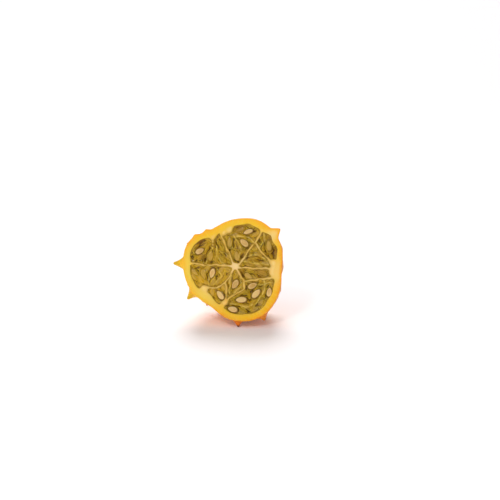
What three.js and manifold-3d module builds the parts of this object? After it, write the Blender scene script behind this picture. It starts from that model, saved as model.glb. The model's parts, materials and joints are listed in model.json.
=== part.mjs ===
// One half of a horned melon, cut across, lying on three of its horns with the cut face tilted up.
// Millimetres, +Z up. The origin is on the surface it lies on, under the middle of its bounding box.
//
// The half is first made in the fruit's own frame: x to the right and y up on the cut face, z out
// of the cut face along the fruit's axis, so that depth behind the cut is -z. A group then tips it.
import * as THREE from "three";
import { mergeVertices } from "three/addons/utils/BufferGeometryUtils.js";
import Module from "manifold-3d";

const wasm = await Module();
wasm.setup();

// Driving dimensions of the fruit.
const OUTLINE_RADII = [34.4, 38.0, 38.8, 35.0, 31.8, 36.6, 34.8, 32.8, 30.4, 35.4, 38.8, 37.0];
const FRUIT_LENGTH = 50; // from the cut to the blossom end
const BULGE_DEPTH = 3; // where behind the cut the fruit is widest
const BULGE = 1.005; // its width there, over that of the cut
const END_ROUNDNESS = 2.05; // exponent of the rounded end
const ROUND_END = 0.75; // how far the three-sided section turns round towards the end
const MEAN_RADIUS = 34.6;

// Driving dimensions of the inside.
const WALL = 4.7; // skin and flesh
const CAVITY_LENGTH = 43;
const SEPTUM = 1.3; // thickness of a partition
const GAP = 0.3; // between the pulp and the walls it sits in
const PULP_SINK = 1.6; // how far the pulp lies below the cut face
const CORE = { x: 1.5, y: 1.9, radius: 2.3 };

// How it lies.
const TILT = THREE.MathUtils.degToRad(18); // of the cut face from upright
const CORE_HEIGHT = 39.8; // of the middle of the cut face above the surface

// A horn: a wide skirt that narrows to a blunt tip. Radii and heights are for a horn of HORN_HEIGHT.
const HORN_HEIGHT = 7.5;
const HORN_TIP = 1.1;
const HORN_SKIRT = 3.5;
const HORN_ROOT = 2.2; // how deep it is sunk
const HORN_SIDES = 8;
const HORN_CLEARANCE = 1.2; // of a horn that isn't a foot, above the surface

const SEGMENTS = 48;
const SKIN_RINGS = 14;
const CAVITY_RINGS = 6;

// Radius of the section at an angle, by a smooth closed curve through the radii every 30 degrees.
function outlineRadius(angle) {
  const count = OUTLINE_RADII.length;
  const place = ((angle / (2 * Math.PI)) * count + 10 * count) % count;
  const index = Math.floor(place);
  const t = place - index;
  const [a, b, c, d] = [-1, 0, 1, 2].map((step) => OUTLINE_RADII[(index + step + count) % count]);
  return 0.5 * (2 * b + (c - a) * t + (2 * a - 5 * b + 4 * c - d) * t * t + (3 * b - a - 3 * c + d) * t ** 3);
}

// Width of the fruit at a depth, as a share of its width at the cut.
function widthShare(depth) {
  if (depth < BULGE_DEPTH) return 1 + (BULGE - 1) * (1 - (1 - depth / BULGE_DEPTH) ** 2);
  const along = Math.min(1, (depth - BULGE_DEPTH) / (FRUIT_LENGTH - BULGE_DEPTH));
  return BULGE * (1 - along ** END_ROUNDNESS) ** (1 / END_ROUNDNESS);
}

// A point of the skin.
function skinPoint(angle, depth) {
  const turn = ROUND_END * THREE.MathUtils.smoothstep(depth, 0, FRUIT_LENGTH);
  const radius = widthShare(depth) * THREE.MathUtils.lerp(outlineRadius(angle), MEAN_RADIUS, turn);
  return new THREE.Vector3(radius * Math.cos(angle), radius * Math.sin(angle), -depth);
}

function skinNormal(angle, depth) {
  const step = 0.01;
  const around = skinPoint(angle + step, depth).sub(skinPoint(angle - step, depth));
  const inward = skinPoint(angle, depth + step).sub(skinPoint(angle, depth - step));
  return inward.cross(around).normalize();
}

// A closed solid from a list of rings of points, each ring counter-clockwise seen from +z, going
// down, with the first and the last ring closed by a fan about its middle.
function loft(rings) {
  const count = rings[0].length;
  const points = rings.flat();
  const faces = [];
  rings.slice(1).forEach((ring, row) => {
    for (let i = 0; i < count; i++) {
      const next = (i + 1) % count;
      const upper = row * count;
      const lower = upper + count;
      faces.push(upper + i, lower + i, lower + next, upper + i, lower + next, upper + next);
    }
  });
  [0, rings.length - 1].forEach((row) => {
    const middle = points.length;
    const ring = rings[row];
    points.push(ring.reduce((sum, p) => sum.add(p), new THREE.Vector3()).divideScalar(count));
    for (let i = 0; i < count; i++) {
      const [a, b] = [row * count + i, row * count + ((i + 1) % count)];
      faces.push(...(row === 0 ? [middle, a, b] : [middle, b, a]));
    }
  });
  const geometry = new THREE.BufferGeometry().setFromPoints(points);
  geometry.setIndex(faces);
  return geometry;
}

// Solids are joined and cut by this library; these two turn geometry into its solids and back.
function solid(geometry) {
  const bare = geometry.clone();
  bare.deleteAttribute("normal");
  bare.deleteAttribute("uv");
  const merged = mergeVertices(bare, 1e-4);
  const triVerts = new Uint32Array(merged.index.array);
  const vertProperties = new Float32Array(merged.attributes.position.array);
  return new wasm.Manifold(new wasm.Mesh({ numProp: 3, vertProperties, triVerts }));
}

function geometryOf(shape) {
  const mesh = shape.getMesh();
  const geometry = new THREE.BufferGeometry();
  geometry.setAttribute("position", new THREE.BufferAttribute(new Float32Array(mesh.vertProperties), 3));
  geometry.setIndex(new THREE.BufferAttribute(new Uint32Array(mesh.triVerts), 1));
  geometry.computeVertexNormals();
  return geometry;
}

const joined = (shapes) => shapes.reduce((all, shape) => all.add(shape));

// The body without horns, as rings from the cut to near the end.
function bodySolid() {
  const rings = [];
  for (let row = 0; row <= SKIN_RINGS; row++) {
    const depth = FRUIT_LENGTH * Math.sin((row / SKIN_RINGS) * 0.497 * Math.PI);
    const ring = [];
    for (let i = 0; i < SEGMENTS; i++) ring.push(skinPoint((i / SEGMENTS) * 2 * Math.PI, depth));
    rings.push(ring);
  }
  return solid(loft(rings));
}

// Horns seen on the photographed half, and those it lies on: angle in degrees, depth, height.
// A depth below zero puts the middle of a horn in front of the cut, which then slices it.
const PLACED_HORNS = [
  [42, -1.2, 6],
  [126, -2.2, 5],
  [140, -2.4, 5],
  [174.5, 4, 6.8],
  [212, 5, 6.0],
  [303.5, 6.5, 3.6],
  [24, 19, 3.2],
  [336, 20, 3.0],
  [75, 18, 4.4],
  [108, 17, 3.8],
  [152, 17, 5.2],
  [197, 20, 4.4],
  [231, 22, 3.6],
  [2, 31, 6.4],
  [312, 27, 5.0],
];
const FOOT_HORNS = [
  [277, 4.5],
  [248, 33],
  [298, 34],
];
// The others lie on a spiral that spreads them evenly, with a seeded jitter, as on the real skin.
const SPIRAL_HORNS = 34;
const SPIRAL_FIRST_DEPTH = 22;
const SPIRAL_LAST_DEPTH = 49.4;
const GOLDEN_ANGLE = Math.PI * (3 - Math.sqrt(5));
const SPIRAL_TURN = 0.4;
const HORN_SPACING = 12.5;
const JITTER = 0.1;

// A small seeded random generator, so that the fruit is the same every time.
function seededRandom(seed) {
  let state = seed;
  return () => {
    state = (state * 1664525 + 1013904223) % 4294967296;
    return state / 4294967296;
  };
}

// From the fruit's frame to how it lies: the cut face leans back by TILT.
const lying = new THREE.Matrix4()
  .makeTranslation(0, 0, CORE_HEIGHT)
  .multiply(new THREE.Matrix4().makeRotationX(Math.PI / 2 - TILT));
const heightOf = (point) => point.clone().applyMatrix4(lying).z;

function hornSites() {
  const sites = [];
  const add = (angle, depth, height) =>
    sites.push({ point: skinPoint(angle, depth), normal: skinNormal(angle, depth), height });
  for (const [degrees, depth, height] of PLACED_HORNS) add(THREE.MathUtils.degToRad(degrees), depth, height);
  for (const [degrees, depth] of FOOT_HORNS) {
    // Long enough to reach a little below the surface, which then cuts a flat spot on its tip.
    const angle = THREE.MathUtils.degToRad(degrees);
    const point = skinPoint(angle, depth);
    const drop = heightOf(point) - heightOf(point.clone().add(skinNormal(angle, depth)));
    add(angle, depth, (heightOf(point) + 0.35) / drop);
  }
  const random = seededRandom(7);
  for (let k = 0; k < SPIRAL_HORNS; k++) {
    const share = (k + 0.5) / SPIRAL_HORNS;
    const depth = SPIRAL_FIRST_DEPTH + (SPIRAL_LAST_DEPTH - SPIRAL_FIRST_DEPTH) * share ** 0.92;
    const angle = SPIRAL_TURN + k * GOLDEN_ANGLE + JITTER * (random() - 0.5);
    const height = HORN_HEIGHT * (0.85 + 0.3 * random()) * (1 - 0.25 * share);
    const point = skinPoint(angle, depth);
    if (sites.some((site) => site.point.distanceTo(point) < HORN_SPACING)) continue;
    const drop = heightOf(point) - heightOf(point.clone().add(skinNormal(angle, depth)));
    const room = drop > 0 ? (heightOf(point) - HORN_CLEARANCE) / drop : Infinity;
    if (room < 3) continue;
    add(angle, depth, Math.min(height, room));
  }
  return sites;
}

// One horn: a lathe about +y, from its root to its blunt tip, turned to the skin's normal.
function hornSolid({ point, normal, height }) {
  const size = Math.sqrt(height / HORN_HEIGHT);
  const profile = [new THREE.Vector2(0, -HORN_ROOT)];
  for (const share of [0, 0.22, 0.5, 0.9]) {
    const radius = size * (HORN_TIP + HORN_SKIRT * (1 - share) ** 2.2);
    if (share === 0) profile.push(new THREE.Vector2(radius, -HORN_ROOT));
    profile.push(new THREE.Vector2(radius, share * height));
  }
  profile.push(new THREE.Vector2(size * HORN_TIP * 0.6, height), new THREE.Vector2(0, height));
  const geometry = new THREE.LatheGeometry(profile, HORN_SIDES);
  const turn = new THREE.Quaternion().setFromUnitVectors(new THREE.Vector3(0, 1, 0), normal);
  geometry.applyMatrix4(new THREE.Matrix4().compose(point, turn, new THREE.Vector3(1, 1, 1)));
  return solid(geometry);
}

// The space inside the wall, as rings that follow the skin and narrow to a rounded end.
function cavitySolid(gap, top) {
  const rings = [];
  for (let row = 0; row <= CAVITY_RINGS; row++) {
    const along = Math.sin((row / CAVITY_RINGS) * 0.49 * Math.PI);
    const depth = (CAVITY_LENGTH - gap) * along;
    const ring = [];
    for (let i = 0; i < SEGMENTS; i++) {
      const angle = (i / SEGMENTS) * 2 * Math.PI;
      const radius = (outlineRadius(angle) - WALL - gap) * Math.sqrt(1 - along ** 2);
      const z = row === 0 ? top : -depth;
      ring.push(new THREE.Vector3(radius * Math.cos(angle), radius * Math.sin(angle), z));
    }
    rings.push(ring);
  }
  return solid(loft(rings));
}

// The partitions on the cut face, as lines through points in millimetres from its middle, each from
// the core or from a fork out to the wall.
const SEPTA = [
  [[1.5, 1.9], [-9.9, 2.6], [-20, 2.4], [-33, 4.2]],
  [[1.5, 1.9], [-5.0, 15.5], [-9, 24], [-11, 31]],
  [[1.5, 1.9], [9.5, 12.1], [15.3, 18.9], [19, 25], [22, 32]],
  [[15.3, 18.9], [20.5, 12], [27, 5.5], [33, 3]],
  [[1.5, 1.9], [13.6, 0.6], [27, 1.2], [33, 1.5]],
  [[1.5, 1.9], [8.6, -8.5], [19.9, -6.7], [31, -5.0]],
  [[8.6, -8.5], [8.2, -14], [4.1, -16.6], [0.4, -19], [-5, -24], [-8, -28]],
  [[1.5, 1.9], [-1.4, -3.8], [-5, -10], [-11, -13.4], [-18.3, -13.3], [-27, -17]],
  [[-4.6, -9.4], [-3.9, -15], [-4.2, -23.2]],
];
// Where three of them meet the wall the flesh is thick.
const WALL_KNOTS = [
  [-14.6, 24.6, 3.4],
  [-19.6, -14.6, 3.0],
  [29.2, 4.4, 2.6],
  [30.2, -1.0, 4.4],
  [-5.2, -23.6, 2.2],
  [21.5, 29, 3.0],
];

function post(x, y, radius, depth) {
  const geometry = new THREE.CylinderGeometry(radius, radius, depth + 2, 10);
  geometry.rotateX(Math.PI / 2).translate(x, y, 1 - depth / 2);
  return solid(geometry);
}

// All partitions, core and knots as one upright solid, thicker by twice the margin.
function septaSolid(margin, depth) {
  const thickness = SEPTUM + 2 * margin;
  const plates = [];
  for (const line of SEPTA)
    line.slice(1).forEach(([x, y], i) => {
      const [x0, y0] = line[i];
      const length = Math.hypot(x - x0, y - y0);
      const plate = new THREE.BoxGeometry(length, thickness, depth + 2);
      plate.rotateZ(Math.atan2(y - y0, x - x0)).translate((x + x0) / 2, (y + y0) / 2, 1 - depth / 2);
      plates.push(solid(plate), post(x, y, thickness / 2, depth));
    });
  plates.push(post(CORE.x, CORE.y, CORE.radius + margin, depth));
  for (const [x, y, radius] of WALL_KNOTS) plates.push(post(x, y, radius + margin, depth));
  return joined(plates);
}

// Seeds that show on the cut face: x, y, heading of the pointed end in degrees, length, width.
const SEEDS = [
  [11.0, 26.0, 199, 8.2, 4.0],
  [4.6, 27.6, 200, 7.5, 2.6],
  [7.6, 18.6, 140, 8.0, 4.6],
  [25.0, 16.6, 100, 8.4, 4.2],
  [2.8, 9.4, 100, 8.0, 4.0],
  [-2.6, 18.8, 92, 8.0, 3.8],
  [-8.6, 15.6, 118, 8.0, 3.8],
  [-23.6, 12.0, 28, 8.0, 4.4],
  [-15.8, 9.0, 80, 8.4, 4.0],
  [-7.2, 7.0, 125, 8.0, 3.8],
  [-14.2, -3.4, 255, 8.4, 4.4],
  [-20.4, -4.0, 285, 8.4, 4.0],
  [-26.6, -3.4, 320, 6.6, 3.2],
  [-8.0, -18.4, 130, 7.6, 4.4],
  [2.0, -10.6, 240, 8.2, 4.6],
  [6.6, -21.4, 183, 8.8, 4.6],
  [1.0, -28.2, 168, 8.2, 4.4],
  [14.2, -11.4, 25, 8.0, 4.4],
  [17.0, -16.8, 48, 8.8, 4.6],
  [26.2, -15.6, 85, 7.8, 4.2],
  [20.4, -22.6, 50, 6.8, 3.4],
  [11.2, -4.6, 330, 7.0, 3.6],
  [15.4, 7.6, 170, 8.0, 3.6],
  [21.0, -2.4, 165, 7.6, 3.4],
];
const SEED_RISE = 1.1; // of a seed above the pulp

// A seed: a flat drop, round at one end and pointed at the other, half sunk in the pulp.
function seedSolid([x, y, heading, length, width]) {
  const geometry = new THREE.SphereGeometry(1, 10, 6);
  const place = geometry.attributes.position;
  for (let i = 0; i < place.count; i++) {
    const along = place.getX(i);
    const taper = 1 - 0.32 * (along + 1) * (along > -1 ? 1 : 0);
    place.setXYZ(
      i,
      (along * length) / 2,
      (place.getY(i) * width * taper) / 2,
      place.getZ(i) * SEED_RISE,
    );
  }
  geometry.rotateZ(THREE.MathUtils.degToRad(heading)).translate(x, y, -PULP_SINK - 0.1);
  return solid(geometry);
}

// A large block with its lower face at z = 0, for cutting off what stands out of the cut face.
const BLOCK = 200;
function blockAboveCut() {
  return solid(new THREE.BoxGeometry(BLOCK, BLOCK, BLOCK).translate(0, 0, BLOCK / 2));
}

// A large block under the surface that the half lies on, seen from the fruit's own frame.
function blockBelowSurface() {
  const block = new THREE.BoxGeometry(BLOCK, BLOCK, BLOCK).translate(0, 0, -BLOCK / 2);
  return solid(block.applyMatrix4(lying.clone().invert()));
}

function rindSolid() {
  const horned = joined([bodySolid(), ...hornSites().map(hornSolid)]);
  const locules = cavitySolid(0, 1).subtract(septaSolid(0, FRUIT_LENGTH));
  return horned.subtract(locules).subtract(blockAboveCut()).subtract(blockBelowSurface());
}

// The pulp fills each locule up to a little below the cut, with its seeds. The partitions part it
// into bodies, which are named in turn round the core.
const SMALLEST_PULP = 60; // cubic millimetres
function pulpSolids() {
  const cavity = cavitySolid(GAP, -PULP_SINK);
  const shaft = cavitySolid(GAP, 1);
  const seeds = joined(SEEDS.map(seedSolid)).intersect(shaft);
  const pulp = cavity.add(seeds).subtract(septaSolid(GAP, FRUIT_LENGTH));
  const angleOf = (body) => {
    const box = body.boundingBox();
    return Math.atan2((box.min[1] + box.max[1]) / 2 - CORE.y, (box.min[0] + box.max[0]) / 2 - CORE.x);
  };
  return pulp
    .decompose()
    .filter((body) => body.volume() > SMALLEST_PULP)
    .sort((a, b) => angleOf(b) - angleOf(a));
}

const rindMaterial = new THREE.MeshStandardMaterial({ color: 0xf29a1f, roughness: 0.5, metalness: 0 });
const pulpMaterial = new THREE.MeshStandardMaterial({ color: 0x8f7f22, roughness: 0.25, metalness: 0 });

function meshOf(name, shape, material) {
  const mesh = new THREE.Mesh(geometryOf(shape), material);
  mesh.name = name;
  return mesh;
}

const half = new THREE.Group();
half.add(meshOf("rind", rindSolid(), rindMaterial));
pulpSolids().forEach((shape, i) => half.add(meshOf(`pulp_${i + 1}`, shape, pulpMaterial)));
half.rotation.x = Math.PI / 2 - TILT;
half.position.z = CORE_HEIGHT;

// The origin is under the middle of the bounding box.
const melon = new THREE.Group();
melon.add(half);
const middle = new THREE.Box3().setFromObject(melon, true).getCenter(new THREE.Vector3());
half.position.x = -middle.x;
half.position.y = -middle.y;

export default melon;
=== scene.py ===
# %% [markdown]
# # Half of a horned melon
# A horned melon is an oval fruit about 10 cm long. Its waxy skin is yellow to orange and carries
# stout horns, and inside a wall of pale flesh is divided by thin partitions into chambers full of
# green jelly and flat cream seeds. This lesson models one half, cut across and lying on its horns.
#
# The first cell loads the solid model of the half. Its pieces are simple, and each is replaced here
# by a finer one in the same place.

# %% Load the solid model
import json
import math

import bpy
import numpy as np
from mathutils import Matrix, Vector


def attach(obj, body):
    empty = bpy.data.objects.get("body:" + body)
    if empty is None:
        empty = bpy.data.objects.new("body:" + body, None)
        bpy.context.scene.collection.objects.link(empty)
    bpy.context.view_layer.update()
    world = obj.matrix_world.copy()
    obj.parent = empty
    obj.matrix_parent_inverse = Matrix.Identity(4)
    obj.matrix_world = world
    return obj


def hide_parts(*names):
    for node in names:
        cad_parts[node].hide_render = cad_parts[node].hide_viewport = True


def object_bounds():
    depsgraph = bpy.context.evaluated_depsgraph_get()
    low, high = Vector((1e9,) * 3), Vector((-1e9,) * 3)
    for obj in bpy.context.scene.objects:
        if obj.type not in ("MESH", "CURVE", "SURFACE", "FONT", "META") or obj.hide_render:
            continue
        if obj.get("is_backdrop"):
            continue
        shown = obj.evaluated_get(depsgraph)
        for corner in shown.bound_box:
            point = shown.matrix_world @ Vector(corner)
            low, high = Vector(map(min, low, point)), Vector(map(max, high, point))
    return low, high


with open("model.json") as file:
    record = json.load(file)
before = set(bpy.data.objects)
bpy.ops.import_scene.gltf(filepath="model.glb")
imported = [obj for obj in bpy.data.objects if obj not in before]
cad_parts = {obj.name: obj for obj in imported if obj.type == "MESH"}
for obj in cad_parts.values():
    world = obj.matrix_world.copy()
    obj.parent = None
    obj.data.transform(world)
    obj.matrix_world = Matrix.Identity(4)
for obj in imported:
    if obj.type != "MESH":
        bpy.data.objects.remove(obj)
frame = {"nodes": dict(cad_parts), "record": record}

cad_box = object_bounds()
PULP_NODES = [name for name in frame["nodes"] if name.startswith("pulp_")]
print("nodes:", len(frame["nodes"]), "of them pulp:", len(PULP_NODES))

# %% [markdown]
# ## The fruit's own frame
# It is easier to shape the half as if it faced us squarely: x to the right and y up on the cut face,
# z out of it, in millimetres, with depth behind the cut as -z. The record of the solid model gives
# the middle of the core and the direction that the cut face looks in, and from these two every point
# can be placed where the half really lies, leaning back a little. Blender works in metres.

# %% From the fruit's frame to the scene
MM = 0.001
CORE = np.array([1.5, 1.9])
cut_face = next(mount for mount in frame["record"]["mounts"] if mount["name"] == "cut_face")
RIGHT = np.array([1.0, 0.0, 0.0])
OUT = np.array(cut_face["axis"]) / np.linalg.norm(cut_face["axis"])
UP = np.cross(OUT, RIGHT)
MIDDLE = np.array(cut_face["pos_m"]) / MM - CORE[0] * RIGHT - CORE[1] * UP


def turned(vectors):
    """Directions in the fruit's frame, as directions in the scene."""
    return vectors[..., :1] * RIGHT + vectors[..., 1:2] * UP + vectors[..., 2:3] * OUT


def placed(points):
    """Points in millimetres in the fruit's frame, as metres in the scene."""
    return MM * (MIDDLE + turned(np.asarray(points, float)))


print("middle of the cut face at", np.round(MIDDLE, 2), "mm")

# %% [markdown]
# ## Camera, floor and light
# The photograph looks slightly down at the cut face from a little to the right. The camera's angles
# come from how much of the outside shows below and beside the cut. The half is kept at its own place
# and size in the picture: one pixel of the 500 is 0.7 mm there.

# %% Camera
PHOTO_SIDE = 500
PIXEL = 0.70
FACE_PIXEL = (232.6, 269.0)
AZIMUTH = math.radians(5)
ELEVATION = math.radians(14)
LENS = 100
SENSOR = 36

back = Vector(
    (
        math.sin(AZIMUTH) * math.cos(ELEVATION),
        -math.cos(AZIMUTH) * math.cos(ELEVATION),
        math.sin(ELEVATION),
    )
)
side = Vector((0, 0, 1)).cross(back).normalized()
above = back.cross(side)
to_side = (PHOTO_SIDE / 2 - FACE_PIXEL[0]) * PIXEL
to_above = (FACE_PIXEL[1] - PHOTO_SIDE / 2) * PIXEL
distance = LENS / SENSOR * PHOTO_SIDE * PIXEL
camera = bpy.data.objects.new("camera", bpy.data.cameras.new("camera"))
bpy.context.collection.objects.link(camera)
camera.data.lens = LENS
camera.data.sensor_width = SENSOR
camera.location = MM * (Vector(MIDDLE) + side * to_side + above * to_above + back * distance)
camera.rotation_mode = "QUATERNION"
camera.rotation_quaternion = back.to_track_quat("Z", "Y")
camera.data.clip_start = 0.01
bpy.context.scene.camera = camera
print("camera stands", round(distance), "mm from the cut face")

# %% [markdown]
# A studio picture on white needs a floor that renders as white, with a soft shadow that keeps the
# fruit on the ground. Very wide suns do the work of large softboxes, and light the floor the same near
# and far: one stands above and behind, so that the shadow falls forwards, and one to the left in
# front fills the cut face. A dim, faintly pink world lights the rest, tints the shade, and keeps the
# reflections in the wet jelly dark enough for its colour to show. A small lamp adds the sparkle.

# %% Floor, world and lamps


def srgb(red, green, blue):
    """A colour as seen in a picture, 0 to 255, as the linear values that shaders take."""
    shares = (value / 255 for value in (red, green, blue))
    linear = (s / 12.92 if s <= 0.04045 else ((s + 0.055) / 1.055) ** 2.4 for s in shares)
    return (*linear, 1.0)


def new_object(name, mesh):
    made = bpy.data.objects.new(name, mesh)
    bpy.context.collection.objects.link(made)
    return made


def area_lamp(name, place, size, power):
    """A square lamp that looks at the fruit."""
    lamp = bpy.data.lights.new(name, "AREA")
    lamp.size = size
    lamp.energy = power
    holder = new_object(name, lamp)
    holder.location = place
    target = Vector(MIDDLE) * MM
    holder.rotation_euler = (Vector(place) - target).to_track_quat("Z", "Y").to_euler()


def wide_sun(name, direction, strength, spread):
    """A sun so wide that its light is as soft as a large softbox's."""
    lamp = bpy.data.lights.new(name, "SUN")
    lamp.energy = strength
    lamp.angle = math.radians(spread)
    holder = new_object(name, lamp)
    holder.rotation_euler = Vector(direction).to_track_quat("Z", "Y").to_euler()


FLOOR_HALF = 14.0
floor_mesh = bpy.data.meshes.new("floor")
corners = [(-1, -1), (1, -1), (1, 1), (-1, 1)]
floor_mesh.from_pydata([(x * FLOOR_HALF, y * FLOOR_HALF, 0) for x, y in corners], [], [(0, 1, 2, 3)])
floor = new_object("floor", floor_mesh)
floor_material = bpy.data.materials.new("white floor")
floor_material.use_nodes = True
floor_shader = floor_material.node_tree.nodes["Principled BSDF"]
floor_shader.inputs["Base Color"].default_value = srgb(250, 249, 251)
floor_shader.inputs["Roughness"].default_value = 0.6
floor_shader.inputs["Emission Color"].default_value = (1.0, 1.0, 1.0, 1.0)
floor_shader.inputs["Emission Strength"].default_value = 0.05
floor_mesh.materials.append(floor_material)
floor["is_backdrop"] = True

world = bpy.data.worlds.new("white studio")
world.use_nodes = True
world.node_tree.nodes["Background"].inputs["Color"].default_value = (1.0, 0.84, 0.80, 1.0)
world.node_tree.nodes["Background"].inputs["Strength"].default_value = 0.28
bpy.context.scene.world = world
wide_sun("back softbox", (-0.1, 0.68, 0.76), 2.2, 36)
wide_sun("front softbox", (-0.7, -0.85, 0.6), 1.15, 90)
area_lamp("sparkle", (-0.22, -0.78, 0.70), 0.13, 1.9)
bpy.context.scene.view_settings.view_transform = "Standard"
print("floor, world and lamps made")

# %% [markdown]
# ## The outline of the cut
# Cut across, the fruit is not round: three chambers push the wall out, which gives a soft triangle.
# Its radius every 30 degrees is joined by a closed smooth curve. Behind the cut the width first grows
# a little and then rounds off to the blossom end, while the three sides turn round.

# %% Shape of the skin
TURN = 2 * math.pi
OUTLINE_RADII = np.array([34.4, 38.0, 38.8, 35.0, 31.8, 36.6, 34.8, 32.8, 30.4, 35.4, 38.8, 37.0])
FRUIT_LENGTH = 50.0
BULGE_DEPTH = 3.0
BULGE = 1.005
END_ROUNDNESS = 2.05
ROUND_END = 0.75
MEAN_RADIUS = 34.6


def smoothstep(value, low, high):
    share = np.clip((value - low) / (high - low), 0, 1)
    return share * share * (3 - 2 * share)


def outline_radius(angle):
    """Radius of the cut face, by a smooth closed curve through OUTLINE_RADII."""
    count = len(OUTLINE_RADII)
    where = np.mod(np.asarray(angle) / TURN * count, count)
    index = np.floor(where).astype(int)
    t = where - index
    a, b, c, d = (OUTLINE_RADII[(index + step) % count] for step in (-1, 0, 1, 2))
    curve = 2 * b + (c - a) * t + (2 * a - 5 * b + 4 * c - d) * t**2 + (3 * b - a - 3 * c + d) * t**3
    return curve / 2


def width_share(depth):
    """Width of the fruit at a depth, over its width at the cut."""
    depth = np.asarray(depth, float)
    near = 1 + (BULGE - 1) * (1 - (1 - depth / BULGE_DEPTH) ** 2)
    along = np.clip((depth - BULGE_DEPTH) / (FRUIT_LENGTH - BULGE_DEPTH), 0, 1)
    far = BULGE * (1 - along**END_ROUNDNESS) ** (1 / END_ROUNDNESS)
    return np.where(depth < BULGE_DEPTH, near, far)


def skin_point(angle, depth):
    turn = ROUND_END * smoothstep(depth, 0, FRUIT_LENGTH)
    radius = width_share(depth) * ((1 - turn) * outline_radius(angle) + turn * MEAN_RADIUS)
    return np.stack([radius * np.cos(angle), radius * np.sin(angle), -depth + 0 * radius], axis=-1)


def skin_normal(angle, depth):
    step = 0.01
    around = skin_point(angle + step, depth) - skin_point(angle - step, depth)
    inward = skin_point(angle, depth + step) - skin_point(angle, depth - step)
    normal = np.cross(inward, around)
    return normal / np.linalg.norm(normal, axis=-1, keepdims=True)


all_round = np.linspace(0, TURN, 360)
print("cut face radii from", outline_radius(all_round).min().round(1), "to",
      outline_radius(all_round).max().round(1), "mm")

# %% [markdown]
# ## Where flesh ends and pulp begins
# The wall, the partitions and the core grew as one. A handy way to draw such a shape is a signed
# distance: below zero inside the flesh, above zero in a chamber, by how far it is to the edge. The
# distance to the wall and to each line of the partitions are merged with a smooth minimum, which
# fills the corners where they meet just as flesh does. Slow ripples keep any line from being ruled.
#
# A change of the wall is given as degrees round the rim, how far it spreads and how much it adds. A
# partition is a line of points, and a knot of flesh has a place and a radius, all in millimetres.

# %% Signed distance to the flesh
WALL = 4.7
WALL_CHANGES = [(228, 16, 1.9), (27, 12, -1.1)]
WALL_WAVER = 0.25
SEPTUM = 1.0
SEPTUM_WAVER = 0.22
WEB = 2.0
SEPTA = [
    [(1.5, 1.9), (-9.9, 2.6), (-20, 2.4), (-33, 4.2)],
    [(1.5, 1.9), (-5.0, 15.5), (-9, 24), (-11, 31)],
    [(1.5, 1.9), (5.0, 4.0), (8.1, 7.8), (9.6, 12.1), (15.3, 18.9), (19, 25), (22, 32)],
    [(15.3, 18.9), (20.5, 12), (27, 5.5), (33, 3)],
    [(1.5, 1.9), (13.6, 0.6), (27, 1.2), (33, 1.5)],
    [(1.5, 1.9), (8.6, -8.5), (19.9, -6.7), (31, -5.0)],
    [(8.6, -8.5), (8.2, -14), (4.1, -16.6), (0.4, -19), (-5, -24), (-8, -28)],
    [(1.5, 1.9), (-1.4, -3.8), (-5, -10), (-11, -13.4), (-18.3, -13.3), (-27, -17)],
    [(-4.6, -9.4), (-3.9, -15), (-4.2, -23.2)],
]
KNOTS = [
    (1.5, 1.9, 2.1),
    (-3.5, 28.2, 3.0),
    (-6.6, 25.6, 1.8),
    (-14.6, 24.6, 3.0),
    (-14.5, 21.4, 1.1),
    (-14.4, 18.8, 0.7),
    (-14.3, 16.6, 0.4),
    (-19.6, -14.6, 2.6),
    (29.2, 4.4, 2.6),
    (30.2, -1.0, 4.4),
    (-5.2, -23.6, 1.8),
    (21.5, 29, 2.4),
]


def ripple(points, wavelength, seed, waves=9):
    """Smooth noise of about unit size: a few sine waves in seeded directions."""
    points = np.asarray(points, float)
    draw = np.random.default_rng(seed)
    directions = draw.normal(size=(waves, points.shape[-1]))
    directions /= np.linalg.norm(directions, axis=1, keepdims=True)
    pitches = TURN / wavelength * draw.uniform(0.7, 1.4, waves)
    phases = draw.uniform(0, TURN, waves)
    return np.sin(points @ (directions * pitches[:, None]).T + phases).sum(axis=-1) / math.sqrt(waves / 2)


def smooth_min(a, b, blend):
    share = np.clip(0.5 + 0.5 * (b - a) / blend, 0, 1)
    return b * (1 - share) + a * share - blend * share * (1 - share)


def segment_distance(points, start, end):
    start, end = np.array(start, float), np.array(end, float)
    along = end - start
    share = np.clip((points - start) @ along / (along @ along), 0, 1)
    return np.linalg.norm(points - start - share[..., None] * along, axis=-1)


def round_about(angle, degrees, spread):
    """1 at a place on the rim, given in degrees, fading to 0 a few spreads away from it."""
    return np.exp(-(((np.degrees(angle) - degrees + 180) % 360 - 180) / spread) ** 2)


def wall_thickness(angle):
    changes = (change * round_about(angle, degrees, spread) for degrees, spread, change in WALL_CHANGES)
    return WALL + sum(changes)


def flesh_distance(points):
    """Distance from the flesh, in millimetres on the cut face, below zero inside it."""
    points = np.asarray(points, float)
    angle = np.arctan2(points[..., 1], points[..., 0])
    radius = np.linalg.norm(points, axis=-1)
    wall = outline_radius(angle) - wall_thickness(angle) - WALL_WAVER * ripple(points, 11, 1) - radius
    bent = points + SEPTUM_WAVER * np.stack([ripple(points, 7, 2), ripple(points, 7, 3)], axis=-1)
    half = SEPTUM / 2 * (1 + SEPTUM_WAVER * ripple(points, 5, 4))
    lines = [segment_distance(bent, a, b) for line in SEPTA for a, b in zip(line, line[1:])]
    merged = smooth_min(wall, np.min(lines, axis=0) - half, WEB)
    for x, y, size in KNOTS:
        merged = smooth_min(merged, np.linalg.norm(bent - (x, y), axis=-1) - size, WEB)
    return merged


print("flesh at the core:", flesh_distance(CORE).round(2), "mm; in a chamber:",
      flesh_distance((-15, 12)).round(2), "mm")

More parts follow.
